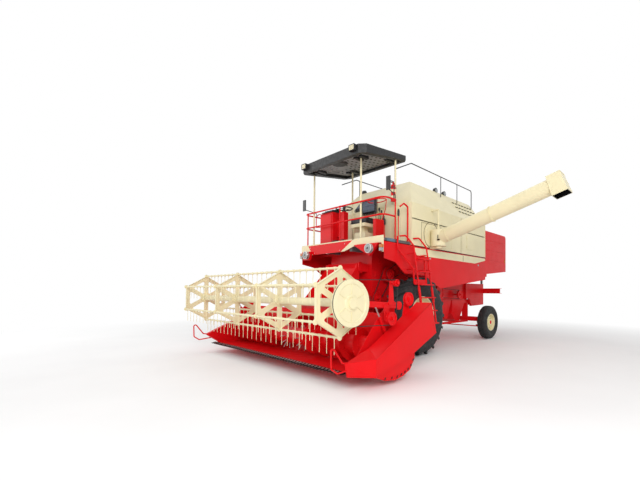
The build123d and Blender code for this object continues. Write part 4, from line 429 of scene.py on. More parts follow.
def tank_details():
    """Edge trims, bolts, hatches with their hinges, and dark lines painted as the shadows in the sheet seams
    on the tank and the engine bay.
    """
    front, joint, rear = TANK[0].y, TANK[1].y, BAY[1].y
    with piece("tank_trims", CREAM, bevel=0.001) as bm:
        for sign in (1, -1):
            x = sign * SIDE_X
            for y in (joint, rear - 0.03):
                block(bm, (x, x + sign * 0.005), (y - 0.017, y + 0.017), (2.20, 3.055))
            for y in (-0.155, 0.55 if sign > 0 else 0.9, 1.35):
                block(bm, (x, x + sign * 0.0035), (y - 0.009, y + 0.009), (2.22, 3.05))
        for x in (-1.05, -0.62, 0.68, 0.98, 1.16):
            block(bm, (x - 0.012, x + 0.012), (front - 0.004, front), (2.26, 3.03))
        block(bm, (-1.2, 1.2), (front - 0.006, front), (3.035, 3.06))

    with piece("tank_bolts", CREAM) as bm:
        for sign in (1, -1):
            x = sign * SIDE_X
            for y in row(-0.14, rear - 0.07, 22):
                for z in (2.24, 3.03):
                    bolt(bm, "x", y, z, x, 0.007, sign * 0.004)
            for y in (joint, rear - 0.03):
                for z in row(2.32, 2.98, 7):
                    bolt(bm, "x", y, z, x + sign * 0.005, 0.006, sign * 0.004)
        for x in row(-1.15, 1.15, 13):
            bolt(bm, "y", x, 3.047, front - 0.006, 0.006, -0.004)

    with piece("tank_hatches", CREAM, bevel=0.003) as bm:
        for sign, y in ((1, 2.07), (-1, 1.22)):
            x = sign * SIDE_X
            block(bm, (x, x + sign * 0.008), (y, y + 0.28), (2.32, 2.66))
            for z in (2.38, 2.60):
                turned(bm, "z", x + sign * 0.009, y - 0.01, z, ((-0.03, 0.009), (0.03, 0.009)), 10)

    # dark lines painted as the shadow in the sheet seams of the tank and the engine bay
    with piece("tank_seam_shadows", SEAM_SHADOW) as bm:
        for sign in (1, -1):
            x = sign * SIDE_X
            for y in ((front + 0.01, joint - 0.02), (joint + 0.02, rear - 0.05)):
                block(bm, (x, x + sign * 0.004), y, (2.726, 2.744))
            for y in (joint - 0.021, joint + 0.021):
                block(bm, (x, x + sign * 0.003), (y - 0.004, y + 0.004), (2.22, 3.05))
        # painted shadow lines round the cover behind the auger's elbow and the sheet round it
        face = SIDE_X + 0.001
        tube(bm, [(face, y, z) for y, z in around(40, 0.275, 0.5, 2.47)], 0.006, 6, closed=True)
        tube(bm, [(face, 0.14, 2.24), (face, 0.14, 2.70), (face, 0.88, 2.70), (face, 0.88, 2.24)], 0.005, 6)


def louvre_shadows():
    """Black bars painted as the shadow under the louvres on the engine bay's sloping sides."""
    rise, inset = RIDGE_Z - TANK_SHOULDER_Z, RIDGE_INSET
    up = Vector((-inset, 0, rise)).normalized()
    out = Vector((rise, 0, inset)).normalized()
    count, pitch, length = 7, 0.15, 0.105
    first = (TANK[1].y + BAY[1].y - (count - 1) * pitch - length) / 2
    # each black bar is painted shadow, laid just below a louvre
    with piece("louvre_shadows", BLACK) as bm:
        for sign in (1, -1):
            for share in (0.35, 0.55, 0.75):
                base = Vector((SIDE_X - inset * share, 0, TANK_SHOULDER_Z + rise * share))
                section = [base + up * across + out * stand for across, stand in
                           ((-0.0245, 0.001), (-0.0245, 0.014), (-0.0365, 0.014), (-0.0365, 0.001))]
                for n in range(count):
                    y = first + n * pitch
                    loft(bm, [[(sign * p.x, run, p.z) for p in section] for run in (y + 0.002, y + 0.103)])


def lamps_and_lenses():
    """Headlamps, the canopy's square lamps, the indicators and the work lamps on the tank's ridge."""
    face = PANEL[0].y - 0.060
    rim = ((0.056, 0.086), (0.040, 0.088), (0.034, 0.079))
    bezel = ((0.060, 0.084), (0.012, 0.084), (-0.004, 0.090), (-0.010, 0.086), (-0.010, 0.076),
             (0.002, 0.074))
    lens = ((0.004, 0.074), (-0.008, 0.070), (-0.015, 0.054), (-0.019, 0.030), (-0.020, 0.006))
    shield = ((-0.0201, 0.020), (-0.023, 0.018), (-0.024, 0.008))
    for name, material, profiles, sides in (("lamp_bezels", STEEL, (rim, bezel), 32),
                                            ("lamp_lenses", LENS_CLEAR, (lens,), 28),
                                            ("bulb_shields", PLASTIC, (shield,), 20)):
        with piece(name, material) as bm:
            for x in (LAMP_X, -LAMP_X):
                for profile in profiles:
                    turned(bm, "y", x, LAMP_Z, face, profile, sides)

    y, z = ROOF[0].y - 0.060, ROOF_LAMP_Z
    with piece("roof_lamp_lenses", LENS_WARM, bevel=0.004) as bm:
        for x in ROOF_LAMPS_X:
            block(bm, (x - 0.068, x + 0.068), (y - 0.006, y + 0.002), (z - 0.048, z + 0.048))
    with piece("roof_lamp_frames", PLASTIC, bevel=0.002) as bm:
        for x in ROOF_LAMPS_X:
            for u in (x - 0.07, x + 0.07):
                block(bm, (u - 0.006, u + 0.006), (y - 0.009, y + 0.01), (z - 0.056, z + 0.056))
            for w in (z - 0.052, z + 0.052):
                block(bm, (x - 0.07, x + 0.07), (y - 0.009, y + 0.01), (w - 0.006, w + 0.006))

    y = PANEL[0].y + 0.010
    for colour, material, z in (("amber", AMBER, (2.0605, 2.121)), ("white", LENS_CLEAR, (2.000, 2.0595))):
        with piece(f"indicators_{colour}", material, bevel=0.006) as bm:
            for sign in (1, -1):
                block(bm, (sign * 1.177, sign * 1.248), (y - 0.008, y + 0.044), z)

    shell = ((-0.045, 0.030), (-0.03, 0.058), (0.03, 0.066), (0.034, 0.058))
    lens = ((0.030, 0.058), (0.040, 0.040), (0.042, 0.010))
    with piece("work_lamp_glass", LENS_CLEAR) as glass, piece("work_lamps", PLASTIC) as bm:
        for x, y, way in ((0.735, 1.435, 1), (0.735, 1.82, 1), (-0.72, 0.46, -1)):
            turned(bm, "x", y, WORK_LAMP_Z, x, shell, 20, way)
            turned(glass, "x", y, WORK_LAMP_Z, x, lens, 20, way)
            block(bm, (x - 0.012, x + 0.012), (y - 0.012, y + 0.012), (3.692, WORK_LAMP_Z - 0.05))


# ---------------------------------------------------------------- operator's place
def controls():
    """Gauges, console sheets, levers, pedals, grips, the wheel's collar and button, and the side plate."""
    x0, x1, y0, y1, top = -0.75, -0.37, -0.87, -0.64, 2.98     # the console
    with piece("gauge_hood", PLASTIC, bevel=0.006) as bm:
        plate(bm, ((y0 - 0.02, top), (y0 - 0.02, top + 0.02), (y1 - 0.02, top + 0.10), (y1, top + 0.09),
                   (y1, top)), "x", x0 + 0.03, x1 - 0.01)
    climb = 0.08 / (y1 - y0)
    dials = row(x0 + 0.08, x1 - 0.06, 4), 0.07, ((0.001, 0.032), (0.009, 0.030), (0.010, 0.024)), 20
    switches = row(x0 + 0.07, x1 - 0.05, 7), 0.16, ((0, 0.008), (0.012, 0.007), (0.016, 0.004)), 10
    with piece("gauges", DIAL) as bm:
        for places, back, profile, sides in (dials, switches):
            for x in places:
                turned(bm, "z", x, y0 + back, top + 0.02 + (back + 0.02) * climb, profile, sides)

    with piece("control_sheets", RED, bevel=0.004) as bm:
        plate(bm, ((x0 - 0.02, 2.26), (x0 - 0.02, top - 0.02), (x1 - 0.03, top - 0.06), (x1 - 0.03, 2.26)),
              "y", y0 - 0.012, y0 - 0.002)
        # the grab loop beside the console
        tube(bm, [(x0 - 0.16, y0 - 0.02, 2.70), (x0 - 0.16, y0 - 0.02, 2.90), (x0 - 0.13, y0 - 0.02, 2.96),
                  (x0 - 0.06, y0 - 0.02, 2.985), (x0 + 0.02, y0 - 0.008, 2.96)], 0.010)
        tube(bm, [(x0 - 0.16, y0 - 0.02, 2.70), (x0 - 0.02, y0 - 0.01, 2.69)], 0.010)
        # the lever box beside the seat and the hoop on its post
        block(bm, (0.575, 0.655), (-0.60, -0.36), (2.25, 2.74))
        tube(bm, [(0.62, -0.40, 2.70), (0.735, -0.40, 2.95), (0.76, -0.40, 3.15)], 0.009)
        tube(bm, [(0.53 + 0.23 * v, -0.44 + 0.13 * u, 3.15) for u, v in around(24, 1)], 0.011, closed=True)

    knob = ((-0.03, 0.008), (0, 0.019), (0.03, 0.021), (0.05, 0.012))
    with piece("small_levers_and_pedals", PLASTIC, bevel=0.003) as bm:
        for x, y, z, lean in ((0.605, -0.54, 2.98, -0.03), (0.625, -0.48, 2.93, 0.01),
                              (0.61, -0.42, 2.89, 0.03)):
            tube(bm, [(x, y, 2.73), (x + lean, y, z)], 0.007)
            turned(bm, "z", x + lean, y, z, knob, 14)
        for x in (-0.33, -0.24, -0.05):
            block(bm, (x - 0.035, x + 0.035), (-0.90, -0.80), (2.335, 2.347))
            tube(bm, [(x, -0.85, 2.34), (x, -0.77, 2.30), (x, -0.74, 2.25)], 0.008)

    grip = ((-0.13, 0.014), (-0.115, 0.021), (-0.02, 0.022), (0.006, 0.015), (0.012, 0.006))
    with piece("lever_grips", PLASTIC) as bm:
        for x, y, z in ((0.62, -0.33, 2.85), (1.1, -0.43, 2.88), (0.56, -0.23, 2.80)):
            turned(bm, "z", x, y, z, grip, 16)
            for ring in row(z - 0.10, z - 0.035, 5):
                turned(bm, "z", x, y, ring, ((0, 0.0235), (0.006, 0.0235)), 16)

    with piece("column_collar", PLASTIC) as bm:
        turned(bm, "z", *COLUMN, 2.9702, ((0, 0.055), (0.0148, 0.050), (0.0348, 0.030), (0.0418, 0.024)))
    with piece("horn_button", STEEL, "hand_wheel") as bm:
        turned(bm, "z", *COLUMN, 3.0702, ((0, 0.036), (0.0078, 0.034), (0.0158, 0.024), (0.0188, 0.008)))
    with piece("blank_plate", PLATE, bevel=0.001) as bm:
        block(bm, (SIDE_X, SIDE_X + 0.003), (-0.953, -0.724), (2.192, 2.248))
        for y in (-0.945, -0.732):
            bolt(bm, "x", y, 2.22, SIDE_X + 0.003, 0.004, 0.003)


def settled(obj):
    """A mesh of the object as its modifiers leave it."""
    return bpy.data.meshes.new_from_object(obj.evaluated_get(bpy.context.evaluated_depsgraph_get()))


def pad(name, size, place, cap, channels, quilted):
    """A stuffed pad: a box a little smaller than its place, swelled by cloth pressure up to the cap.

    The pad's own z is its face. Channels are sewn lines (axis, place) on that face, and quilted is the half
    size of the field in the lighter cloth.
    """
    scene = bpy.context.scene
    half = [s / 2 - 0.007 for s in size]
    bm = bmesh.new()
    block(bm, *[(-h, h) for h in half])
    bmesh.ops.bevel(bm, geom=bm.edges[:], offset=0.016, segments=3, affect="EDGES")
    mesh = bpy.data.meshes.new(name)
    bm.to_mesh(mesh)
    bm.free()
    rough = bpy.data.objects.new(name + "_core", mesh)
    scene.collection.objects.link(rough)
    remesh = rough.modifiers.new("voxels", "REMESH")
    remesh.mode = "VOXEL"
    remesh.voxel_size = 0.006
    even = settled(rough)
    rough.modifiers.clear()
    rough.data = even
    before = [v.co.copy() for v in even.vertices]
    cloth = rough.modifiers.new("stuffing", "CLOTH")
    cloth.settings.use_pressure = True
    cloth.settings.uniform_pressure_force = 4
    cloth.settings.effector_weights.gravity = 0
    for step in range(1, 21):
        scene.frame_set(step)
    for v, was, now in zip(even.vertices, before, settled(rough).vertices):
        shift = now.co - was
        v.co = was + shift * min(1.0, cap / max(shift.length, 1e-9))
    rough.modifiers.clear()
    scene.frame_set(1)
    rough.modifiers.new("divide", "SUBSURF").levels = 1
    fine = settled(rough)
    bpy.data.objects.remove(rough)

    low = -size[2] / 2
    reach = [s / 2 - 0.004 for s in size]
    corner, groove = 0.030, 0.007
    with piece(name, (VINYL, QUILT), smooth=True) as bm:
        bm.from_mesh(fine)
        for v in bm.verts:
            v.co.z = max(v.co.z, low)
            if v.co.z > 0:
                for axis, at in channels:
                    gap = (v.co.x if axis == "x" else v.co.y) - at
                    v.co.z -= groove * exp(-(gap / groove) ** 2)
        for face in bm.faces:
            middle = face.calc_center_median()
            inside = abs(middle.x) < quilted[0] and abs(middle.y) < quilted[1] and middle.z > 0
            face.material_index = 1 if inside else 0
        for z in (size[2] / 2 - 0.020, low + 0.016):
            piping = [(sx * (reach[0] - corner) + corner * cos(a),
                       sy * (reach[1] - corner) + corner * sin(a), z)
                      for sx, sy, turn in ((1, 1, 0), (-1, 1, 0.5), (-1, -1, 1.0), (1, -1, 1.5))
                      for a in row(turn * pi, (turn + 0.5) * pi, 5)]
            tube(bm, piping, 0.0045, 6, closed=True)
        bmesh.ops.transform(bm, matrix=place, verts=bm.verts)
    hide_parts("seat_pads")


def seat():
    """The cushion and its backrest, and the pad on the tank's sloping front."""
    upright = Matrix.Rotation(radians(90), 4, "X")
    pad("seat_cushion", (0.46, 0.40, 0.12), Matrix.Translation((0.215, -0.50, 2.74)), 0.012,
        [("y", -0.09), ("y", 0.09), ("x", 0.0)], (0.0, 0.0))
    pad("seat_backrest", (0.46, 0.33, 0.064), Matrix.Translation((0.215, -0.333, 3.095)) @ upright, 0.011,
        [("x", x) for x in row(-0.15, 0.15, 5)] + [("y", y) for y in row(-0.09, 0.09, 3)], (0.17, 0.11))
    run, rise = RIDGE_Y - TANK[0].y, TANK[1].z - TANK_SHOULDER_Z
    foot = Vector((-0.205, TANK[0].y + 0.01 * run / rise, TANK_SHOULDER_Z + 0.01))
    lean = Matrix.Translation(foot) @ Matrix.Rotation(-atan2(run, rise), 4, "X")
    pad("wall_pad", (0.37, 0.30, 0.064), lean @ Matrix.Translation((0, -0.033, 0.15)) @ upright, 0.011,
        [("x", 0.0), ("x", -0.09), ("x", 0.09), ("y", 0.0)], (0.14, 0.10))


def extinguisher():
    """White bands, straps, the valve with its lever, and a short hose on the extinguisher."""
    low, high = bounds_of("fire_extinguisher")
    x, y, r = (low.x + high.x) / 2, (low.y + high.y) / 2, (high.x - low.x) / 2
    with piece("extinguisher_bands", CREAM) as bm:
        for z in (3.16, 3.29):
            turned(bm, "z", x, y, z, ((0, r + 0.0012), (0.055, r + 0.0012)), 32)
    with piece("extinguisher_fittings", PLASTIC, bevel=0.001) as bm:
        for z in (3.135, 3.38):
            turned(bm, "z", x, y, z, ((0, r + 0.004), (0.018, r + 0.004)), 32)
            block(bm, (x - 0.02, x + 0.02), (y + r - 0.004, y + r + 0.03), (z, z + 0.018))
        block(bm, (x - 0.010, x + 0.010), (y - 0.095, y + 0.012), (3.478, 3.490))
        block(bm, (x - 0.010, x + 0.010), (y - 0.085, y + 0.012), (3.506, 3.516))
        tube(bm, [(x + 0.012, y, 3.47), (x + 0.05, y - 0.03, 3.46), (x + 0.062, y - 0.05, 3.40),
                  (x + 0.058, y - 0.045, 3.22)], 0.009)
        turned(bm, "z", x + 0.058, y - 0.045, 3.14, ((0, 0.018), (0.02, 0.014), (0.08, 0.010)), 14)


def canopy_details():
    """The moulded lining under the canopy with its ridges and dimples, and the blocks round the posts."""
    def under(y):
        """The height of the canopy's underside."""
        return 3.805 + (y + 1.298) * 0.225 / 1.391

    y0, y1, x1 = -1.176, -0.030, 0.778
    with piece("canopy_lining", LINING) as bm:
        plate(bm, ((y0, under(y0) + 0.052), (y1, under(y1) + 0.052), (y1, under(y1) + 0.0598),
                   (y0, under(y0) + 0.0598)), "x", -x1, x1)
        for radius in (0.20, 0.30, 0.40, 0.50):
            arc = [(-0.30 + radius * cos(a), -0.62 + 0.8 * radius * sin(a))
                   for a in row(radians(150), radians(262), 15)]
            tube(bm, [(x, y, under(y) + 0.051) for x, y in arc if abs(x) < 0.76 and -1.16 < y < -0.05], 0.011)
        for x in row(-0.70, 0.70, 3):
            tube(bm, [(x, y, under(y) + 0.052) for y in (-1.165, -0.04)], 0.010)
    dimple = ((0, 0.030), (0.003, 0.028), (0.004, 0.022))
    with piece("canopy_dimples", CANOPY) as bm:
        for across, along in ((row(-0.08, 0.66, 6), row(-1.10, -0.12, 9)),
                              (row(-0.62, -0.22, 4), row(-0.50, -0.12, 4))):
            for x in across:
                for y in along:
                    turned(bm, "z", x, y, under(y) + 0.0519, dimple, 14, -1, squeeze=0.8)
        turned(bm, "z", -0.02, -0.98, under(-0.98) + 0.050, ((0, 0.15), (0.016, 0.14), (0.022, 0.11)), 28, -1,
               squeeze=1.2)
    with piece("canopy_blocks", CANOPY, bevel=0.006) as bm:
        for x, y in ((0.76, -0.24), (-0.42, -0.24), (0.56, -0.936), (-0.73, -0.936)):
            z = under(y)
            for middle in (x - 0.07, x + 0.07):
                block(bm, (middle - 0.04, middle + 0.04), (y - 0.11, y + 0.11), (z + 0.004, z + 0.055))


def rails_and_ladder():
    """Flanges and clamps on the rails, bolts and grip bars on the ladder's treads, and the entry grip."""
    low, high = bounds_of("platform_rails")
    x, front = high.x - 0.016, low.y + 0.016
    flange = ((0.0002, 0.040), (0.006, 0.040), (0.008, 0.022), (0.022, 0.019))
    with piece("rail_feet", RED) as bm:
        for px, py in ((0.12 - x, front), (0, front), (x, front + 0.33), (-x, -0.5), (-x, -0.26),
                       (x, -0.271)):
            turned(bm, "z", px, py, DECK_Z, flange, 20)
            for a in (0.8, 2.37, 3.94, 5.5):
                bolt(bm, "z", px + 0.030 * cos(a), py + 0.030 * sin(a), DECK_Z + 0.006, 0.005, 0.004)
        for px in (0.12 - x, 0):
            for z in (2.69, 3.01):
                turned(bm, "x", front, z, px, ((-0.022, 0.0185), (0.022, 0.0185)), 16)
    with piece("ladder_treads", RED) as bm:
        for z in (0.66, 0.90, 1.15, 1.40, 1.65, 1.90):
            at = 1.4 + (2.15 - z) * 0.24 / 1.51
            for tx in row(at - 0.006, at + 0.054, 4):
                tube(bm, [(tx, -0.305, z + 0.0105), (tx, 0.075, z + 0.0105)], 0.0028, 6)
            for y in (-0.30, 0.07):
                bolt(bm, "z", at + 0.055, y, z + 0.010, 0.006, 0.004)
    with piece("entry_grip", RED) as bm:
        tube(bm, [(1.207, -0.40, 2.985), (1.207, -0.335, 2.966), (1.207, -0.30, 2.955)], 0.0165, 12)


# ---------------------------------------------------------------- wheels, header and drives
def wheels():
    """Side-wall ribs on the tyres, hub caps, and heads on the drive wheels' bolts."""
    cap = ((-0.03, 0.060), (-0.004, 0.058), (0.004, 0.046), (0.006, 0.012))
    head = ((0, 0.017), (0.006, 0.017), (0.010, 0.009), (0.014, 0.008))
    for name, sign in SIDES:
        body = f"drive_wheel_{name}"
        with piece(f"drive_sidewall_{name}", RUBBER, body, smooth=True) as bm:
            for r, inward in ((0.545, 0.0065), (0.505, 0.0102)):
                for x in (1.44 - inward, 0.98 + inward):
                    tube(bm, [(sign * x, y, z) for y, z in around(48, r, 0, DRIVE_WHEEL_Z)], 0.0032, 6,
                         closed=True)
        with piece(f"drive_hub_{name}", RED, body) as bm:
            turned(bm, "x", 0, DRIVE_WHEEL_Z, sign * 1.318, cap, 24, sign)
            for y, z in around(8, 0.1925, 0, DRIVE_WHEEL_Z):
                turned(bm, "x", y, z, sign * 1.285, head, 6, sign)

    middle, *axle = STEER_WHEEL
    cap = ((-0.04, 0.052), (0.006, 0.050), (0.014, 0.036), (0.016, 0.010))
    for name, sign in SIDES:
        body = f"steered_wheel_{name}"
        with piece(f"steer_hub_{name}", RED, body) as bm:
            turned(bm, "x", *axle, sign * (middle + 0.078), cap, 24, sign)
        with piece(f"steer_sidewall_{name}", RUBBER, body, smooth=True) as bm:
            for r, out in ((0.405, 0.1105), (0.375, 0.1145), (0.330, 0.1145)):
                for x in (middle + out, middle - out):
                    tube(bm, [(sign * x, y, z) for y, z in around(48, r, *axle)], 0.0035, 6, closed=True)


def header_details():
    """The knife's sections and their bolts, and the bolts and plates on the feeder house."""
    pitch = 0.0762
    count = int((2 * 2.033 - 0.06) // pitch)
    with piece("knife_sections", STEEL, "header") as bm:
        for n in range(count):
            x = (n - count / 2) * pitch
            plate(bm, ((x + 0.002, -2.606), (x + pitch / 2, -2.675), (x + pitch - 0.002, -2.606)),
                  "z", 0.1975, 0.2005)
            bolt(bm, "z", x + pitch / 2, -2.585, 0.192, 0.007, 0.005)

    with piece("feeder_fittings", RED, "header", 0.001) as bm:
        for x in row(-0.43, 0.43, 9):
            for t in (0.08, 0.92):
                bolt(bm, "z", x, -1.731 + 0.861 * t, 0.863 + 0.965 * t, 0.009, 0.010)
        for sign in (1, -1):
            for t in row(0.08, 0.92, 7):
                bolt(bm, "x", -1.731 + 0.861 * t, 0.84 + 0.95 * t, sign * FEEDER_X, 0.009, sign * 0.006)
            x = sign * (FEEDER_X + 0.0002)
            plate(bm, ((-1.70, 0.40), (-1.70, 0.82), (-1.66, 0.865), (-1.62, 0.865), (-1.62, 0.42)),
                  "x", x, x + sign * 0.008)
            plate(bm, ((-1.30, 0.85), (-1.30, 1.20), (-1.08, 1.42), (-1.08, 1.08)), "x", x, x + sign * 0.006)


def header_end():
    """Bolts and edge strips on the left cover, black notches and lines painted as the shadow along the skid's
    rim, the screw's fingers, and more bolts.
    """
    x = COVER[1].x
    with piece("cover_fittings", RED, "header", 0.001) as bm:
        for y, z in ((-2.40, 0.36), (-2.40, 0.22), (-2.1, 0.55), (-1.8, 0.71), (-1.5, 0.88), (-1.27, 1.0),
                     (-1.15, 0.75), (-1.45, 0.50), (-1.75, 0.37), (-2.1, 0.29)):
            bolt(bm, "x", y, z, x, 0.009, 0.005)
        strip = x - 0.02, x + 0.003
        plate(bm, ((-2.458, 0.404), (-2.452, 0.404), (-1.210, 1.091), (-1.207, 1.096)), "x", *strip)
        plate(bm, ((-2.462, 0.169), (-2.462, 0.404), (-2.452, 0.404), (-2.452, 0.169)), "x", *strip)
    x -= 0.040
    rim = ((-2.30, 0.088), (-2.026, 0.064), (-1.853, 0.092), (-1.706, 0.152), (-1.600, 0.290))
    # black notches and strips along the skid's rim, painted as the shadow line under it
    with piece("skid_rim_shadow", BLACK, "header") as bm:
        for (y0, z0), (y1, z1) in zip(rim, rim[1:]):
            for t in (0.2, 0.7):
                y, z = y0 + (y1 - y0) * t, z0 + (z1 - z0) * t + 0.018
                plate(bm, ((y - 0.020, z), (y + 0.004, z + 0.030), (y + 0.020, z + 0.026),
                           (y + 0.002, z - 0.002)), "x", x, x + 0.006)
        for (y0, z0), (y1, z1) in (((-2.244, 0.218), (-1.776, 0.322)), ((-1.776, 0.322), (-1.62, 0.389))):
            plate(bm, ((y0, z0), (y0, z0 + 0.013), (y1, z1 + 0.013), (y1, z1)), "x", x, x + 0.003)

    with piece("screw_fingers", STEEL, "screw") as bm:
        for n in range(24):
            x = -0.42 + 0.84 * (n % 12) / 11
            a = n % 6 * pi / 3 + (pi / 6 if n >= 12 else 0)
            tube(bm, [(x, SCREW[0] + r * sin(a), SCREW[1] + r * cos(a)) for r in (0.148, 0.248)], 0.007)

    with piece("header_bolts", RED, "header") as bm:
        for sign in (1, -1):
            for y, z in ((-2.45, 0.235), (-2.25, 0.50), (-2.02, 0.72), (-1.85, 0.90), (-1.70, 0.50),
                         (-1.70, 0.75), (-2.2, 0.25)):
                bolt(bm, "x", y, z, sign * HEADER_X, 0.009, sign * 0.006)
        for x in row(-1.95, 1.95, 14):
            if abs(x) > 0.5:
                bolt(bm, "y", x, 0.90, -1.7362, 0.009, -0.006)


def reel_details():
    """Bolts round the spiders' hubs, the disc's rim and its hub, and clips that hold the tines."""
    with piece("reel_bolts", CREAM, "reel") as bm:
        for x in SPIDERS_X:
            for sign in (1, -1):
                for y, z in around(6, 0.105, *REEL):
                    bolt(bm, "x", y, z, x + sign * 0.005, 0.008, sign * 0.006)
        for y, z in around(12, 0.262, *REEL):
            bolt(bm, "x", y, z, 2.307, 0.006, 0.004)
        for y, z in around(5, 0.047, *REEL):
            bolt(bm, "x", y, z, 2.332, 0.008, 0.005)
    pitch = 0.152
    count = int(2 * (SPIDERS_X[0] - 0.06) // pitch)
    places = [(n - count / 2) * pitch for n in range(count + 1)]
    # no clip where a bar runs through one of the two middle spiders
    places = [x for x in places if all(abs(x - spider) > 0.029 for spider in SPIDERS_X[1:3])]
    clip = ((-0.022, 0.0175), (-0.020, 0.019), (0.020, 0.019), (0.022, 0.0175))
    for number in range(1, 7):
        low, high = bounds_of(f"tine_bar_{number}")
        y, z = (low.y + high.y) / 2, high.z - 0.015
        with piece(f"tine_clips_{number}", CREAM, f"tine_row_{number}") as bm:
            for x in places:
                turned(bm, "x", y, z, x, clip, 12)
                turned(bm, "z", x, y, z, ((-0.035, 0.0085), (-0.012, 0.0095)), 8)


def unloader_details():
    """Bolts on the tube's flanges, the spout's strips and bolts, the elbow's bands, a black lining painted
    inside the spout as its shade, and the latch.
    """
    place = Matrix.Translation(UNLOADER) @ Matrix.Rotation(-UNLOADER_RISE, 4, "Y")
    with piece("unloader_bolts", CREAM, "unloader") as bm:
        for at in (0.230, 1.205):
            for side, way in ((at - 0.0002, -1), (at + 0.0142, 1)):
                for y, z in around(12, 0.147):
                    bolt(bm, "x", y, z, side, 0.005, way * 0.005)
        block(bm, (2.285, 2.515), (-0.151, 0.151), (0.148, 0.153))
        for y in (0.1505, -0.1505):
            block(bm, (2.292, 2.536), (y - 0.003, y + 0.003), (-0.198, -0.182))
        for y in row(-0.13, 0.13, 4):
            for x, z in ((2.513, 0.12), (2.5335, -0.03), (2.54325, -0.16)):
                bolt(bm, "x", y, z, x, 0.007, 0.005)
        for v in bm.verts:
            v.co = place @ v.co
        for z in (2.235, 2.52):
            turned(bm, "z", UNLOADER.x, UNLOADER.y, z, ((0, 0.1615), (0.02, 0.1615)), 40)

    side, top, low, back = 0.1415, 0.1415, -0.199, 2.2985
    with piece("unloader_latch_and_spout_shade", BLACK, "unloader", 0.001) as bm:
        # black sheets inside the spout's walls, painted as the shade within the spout
        for y in ((-side, 0.003 - side), (side - 0.003, side)):
            plate(bm, ((back, top), (2.500, top), (2.530, low), (back, low)), "y", *y)
        for outline in (((back, top), (back + 0.003, top), (back + 0.003, low), (back, low)),
                        ((2.497, top), (2.501, top), (2.531, low), (2.527, low)),
                        ((back, top), (2.501, top), (2.501, top - 0.003), (back, top - 0.003))):
            plate(bm, outline, "y", -side, side)
        for v in bm.verts:
            v.co = place @ v.co
        block(bm, (1.50, 1.56), (0.330, 0.345), (2.32, 2.345))
        tube(bm, [(1.53, 0.335, 2.34), (1.53, 0.318, 2.36), (1.53, 0.318, 2.43)], 0.008)


def hood_details():
    """Bolts and a joint strip on the hood's sides, and lamps on its lower corners."""
    with piece("hood_bolts", RED) as bm:
        for sign in (1, -1):
            x = sign * HOOD_X
            for z in (2.05, 2.32, 2.60, 2.88):
                for y in row(3.2, 4.55, 6):
                    bolt(bm, "x", y, z, x, 0.007, sign * 0.004)
            block(bm, (x, x + sign * 0.006), (3.101, 3.125), (1.67, 2.95))
    with piece("rear_side_lamps", AMBER, bevel=0.005) as bm:
        for sign in (1, -1):
            block(bm, (sign * HOOD_X, sign * (HOOD_X + 0.016)), (4.60, 4.66), (2.15, 2.25))


def drive_details():
    """Caps on the belt drives' shafts, and bolted plates and rows of bolts along the housing."""
    cap = ((-0.03, 0.030), (0.004, 0.028), (0.008, 0.018))
    with piece("drive_fittings", RED, bevel=0.001) as bm:
        for sign in (1, -1):
            for x, y, z in ((0.744, -0.60, 1.14), (0.868 if sign > 0 else 0.806, 0.02, 1.76),
                            (0.806, -0.28, 1.62)):
                turned(bm, "x", y, z, sign * x, cap, 18, sign)
            x, face = sign * HOUSING_X, sign * (HOUSING_X + 0.008)
            for y, z in ((-0.55, 1.30), (-0.50, 1.62), (-0.40, 1.90), (0.30, 1.95), (0.8, 1.7), (1.3, 1.5),
                         (2.1, 1.4), (2.8, 1.6)):
                block(bm, (x, face), (y - 0.09, y + 0.09), (z - 0.06, z + 0.06))
                for dy, dz in ((-0.07, -0.04), (-0.07, 0.04), (0.07, -0.04), (0.07, 0.04)):
                    bolt(bm, "x", y + dy, z + dz, face, 0.007, sign * 0.005)
            for y in row(-0.6, 3.0, 13):
                for z in (2.17, 1.09):
                    bolt(bm, "x", y, z, x, 0.008, sign * 0.005)


for make in (front_trim, side_stripes, tank_details, louvre_shadows, lamps_and_lenses, controls, seat,
             extinguisher, canopy_details, rails_and_ladder, wheels, header_details, header_end,
             reel_details, unloader_details, hood_details, drive_details):
    make()


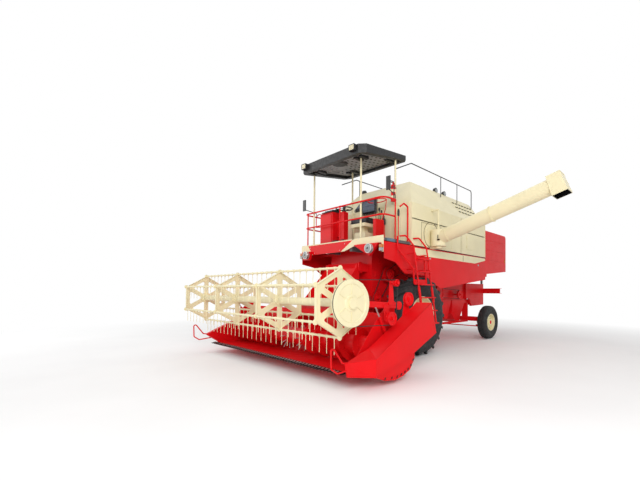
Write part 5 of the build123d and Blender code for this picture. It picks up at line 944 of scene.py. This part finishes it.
# ---------------------------------------------------------------- stage, light and camera
def floor_and_world():
    """A pale floor that fades to the white backdrop far from the machine, and a white world."""
    mesh = bpy.data.meshes.new("floor")
    half = 60
    corners = [(-half, -half, 0), (half, -half, 0), (half, half, 0), (-half, half, 0)]
    mesh.from_pydata(corners, [], [(0, 1, 2, 3)])
    plane = bpy.data.objects.new("floor", mesh)
    bpy.context.scene.collection.objects.link(plane)
    n = Surface("pale_floor")
    spots = n.ramp(n.noise(0.8, 3), 0.3, 0.7)
    n.put("Base Color", n.mix(spots, linear((0.975, 0.975, 0.975)), linear((0.99, 0.99, 0.99))))
    n.put("Roughness", 0.9)
    glow = n.add("ShaderNodeEmission")
    glow.inputs["Color"].default_value = (1, 1, 1, 1)
    distance = n.add("ShaderNodeVectorMath", operation="LENGTH")
    n.link(n.place, distance.inputs[0])
    ray = n.add("ShaderNodeLightPath").outputs
    seen = n.math("MAXIMUM", ray["Is Camera Ray"], ray["Is Glossy Ray"])
    far = n.math("MULTIPLY", n.ramp(distance.outputs["Value"], 6.0, 11.0), seen)
    n.show("Material Output", far, n.bsdf.outputs[0], glow.outputs[0])
    mesh.materials.append(n.owner)

    world = bpy.data.worlds.new("studio")
    bpy.context.scene.world = world
    n = Nodes(world)
    back, white = n.tree.nodes["Background"], n.add("ShaderNodeBackground")
    for node, strength in ((back, 0.55), (white, 1.0)):
        node.inputs["Color"].default_value = (1, 1, 1, 1)
        node.inputs["Strength"].default_value = strength
    ray = n.add("ShaderNodeLightPath").outputs
    seen = n.math("MAXIMUM", ray["Is Camera Ray"], ray["Is Glossy Ray"])
    seen = n.math("MAXIMUM", seen, ray["Is Transmission Ray"])
    n.show("World Output", seen, back.outputs[0], white.outputs[0])


def lights():
    """Three soft lamps: the key from the front left, a fill opposite and one overhead."""
    for name, place, aim, size, power in (("key", (9.5, -8.5, 6.0), (0, 0, 1.5), 5.0, 760),
                                          ("fill", (-9.0, -8.0, 6.0), (0, 0, 1.5), 7.0, 330),
                                          ("top", (-1.0, 2.0, 11.0), (0, 1, 1.5), 8.0, 200)):
        light = bpy.data.lights.new(name, "AREA")
        light.energy = power
        light.size = size
        lamp = bpy.data.objects.new(name, light)
        lamp.location = place
        lamp.rotation_euler = (Vector(aim) - Vector(place)).to_track_quat("-Z", "Y").to_euler()
        bpy.context.scene.collection.objects.link(lamp)


CAMERA_AT = (5.353, -5.664, 1.257)
CAMERA_TURN = 42.009                # degrees from +Y towards -X
CAMERA_PITCH = 1.092                # degrees above the level
CAMERA_ROLL = 0.323
CAMERA_LENS_MM = 19.35669375
CAMERA_SHIFT = (-0.09469375, 0.070871875)   # shares of the picture's width


def camera():
    """The photo's camera, as measured from the machine's known points."""
    turn, pitch, roll = radians(CAMERA_TURN), radians(CAMERA_PITCH), radians(CAMERA_ROLL)
    forward = Vector((-sin(turn) * cos(pitch), cos(turn) * cos(pitch), sin(pitch)))
    level = forward.cross(Vector((0, 0, 1))).normalized()
    above = level.cross(forward)
    right = level * cos(roll) + above * sin(roll)
    up = right.cross(forward)
    lens = bpy.data.cameras.new("camera")
    lens.sensor_width = 36
    lens.lens = CAMERA_LENS_MM
    lens.shift_x, lens.shift_y = CAMERA_SHIFT
    lens.clip_end = 300
    eye = bpy.data.objects.new("camera", lens)
    eye.matrix_world = Matrix((right, up, -forward)).transposed().to_4x4()
    eye.location = CAMERA_AT
    bpy.context.scene.collection.objects.link(eye)
    bpy.context.scene.camera = eye


floor_and_world()
lights()
camera()
bpy.context.scene.view_settings.view_transform = "Standard"
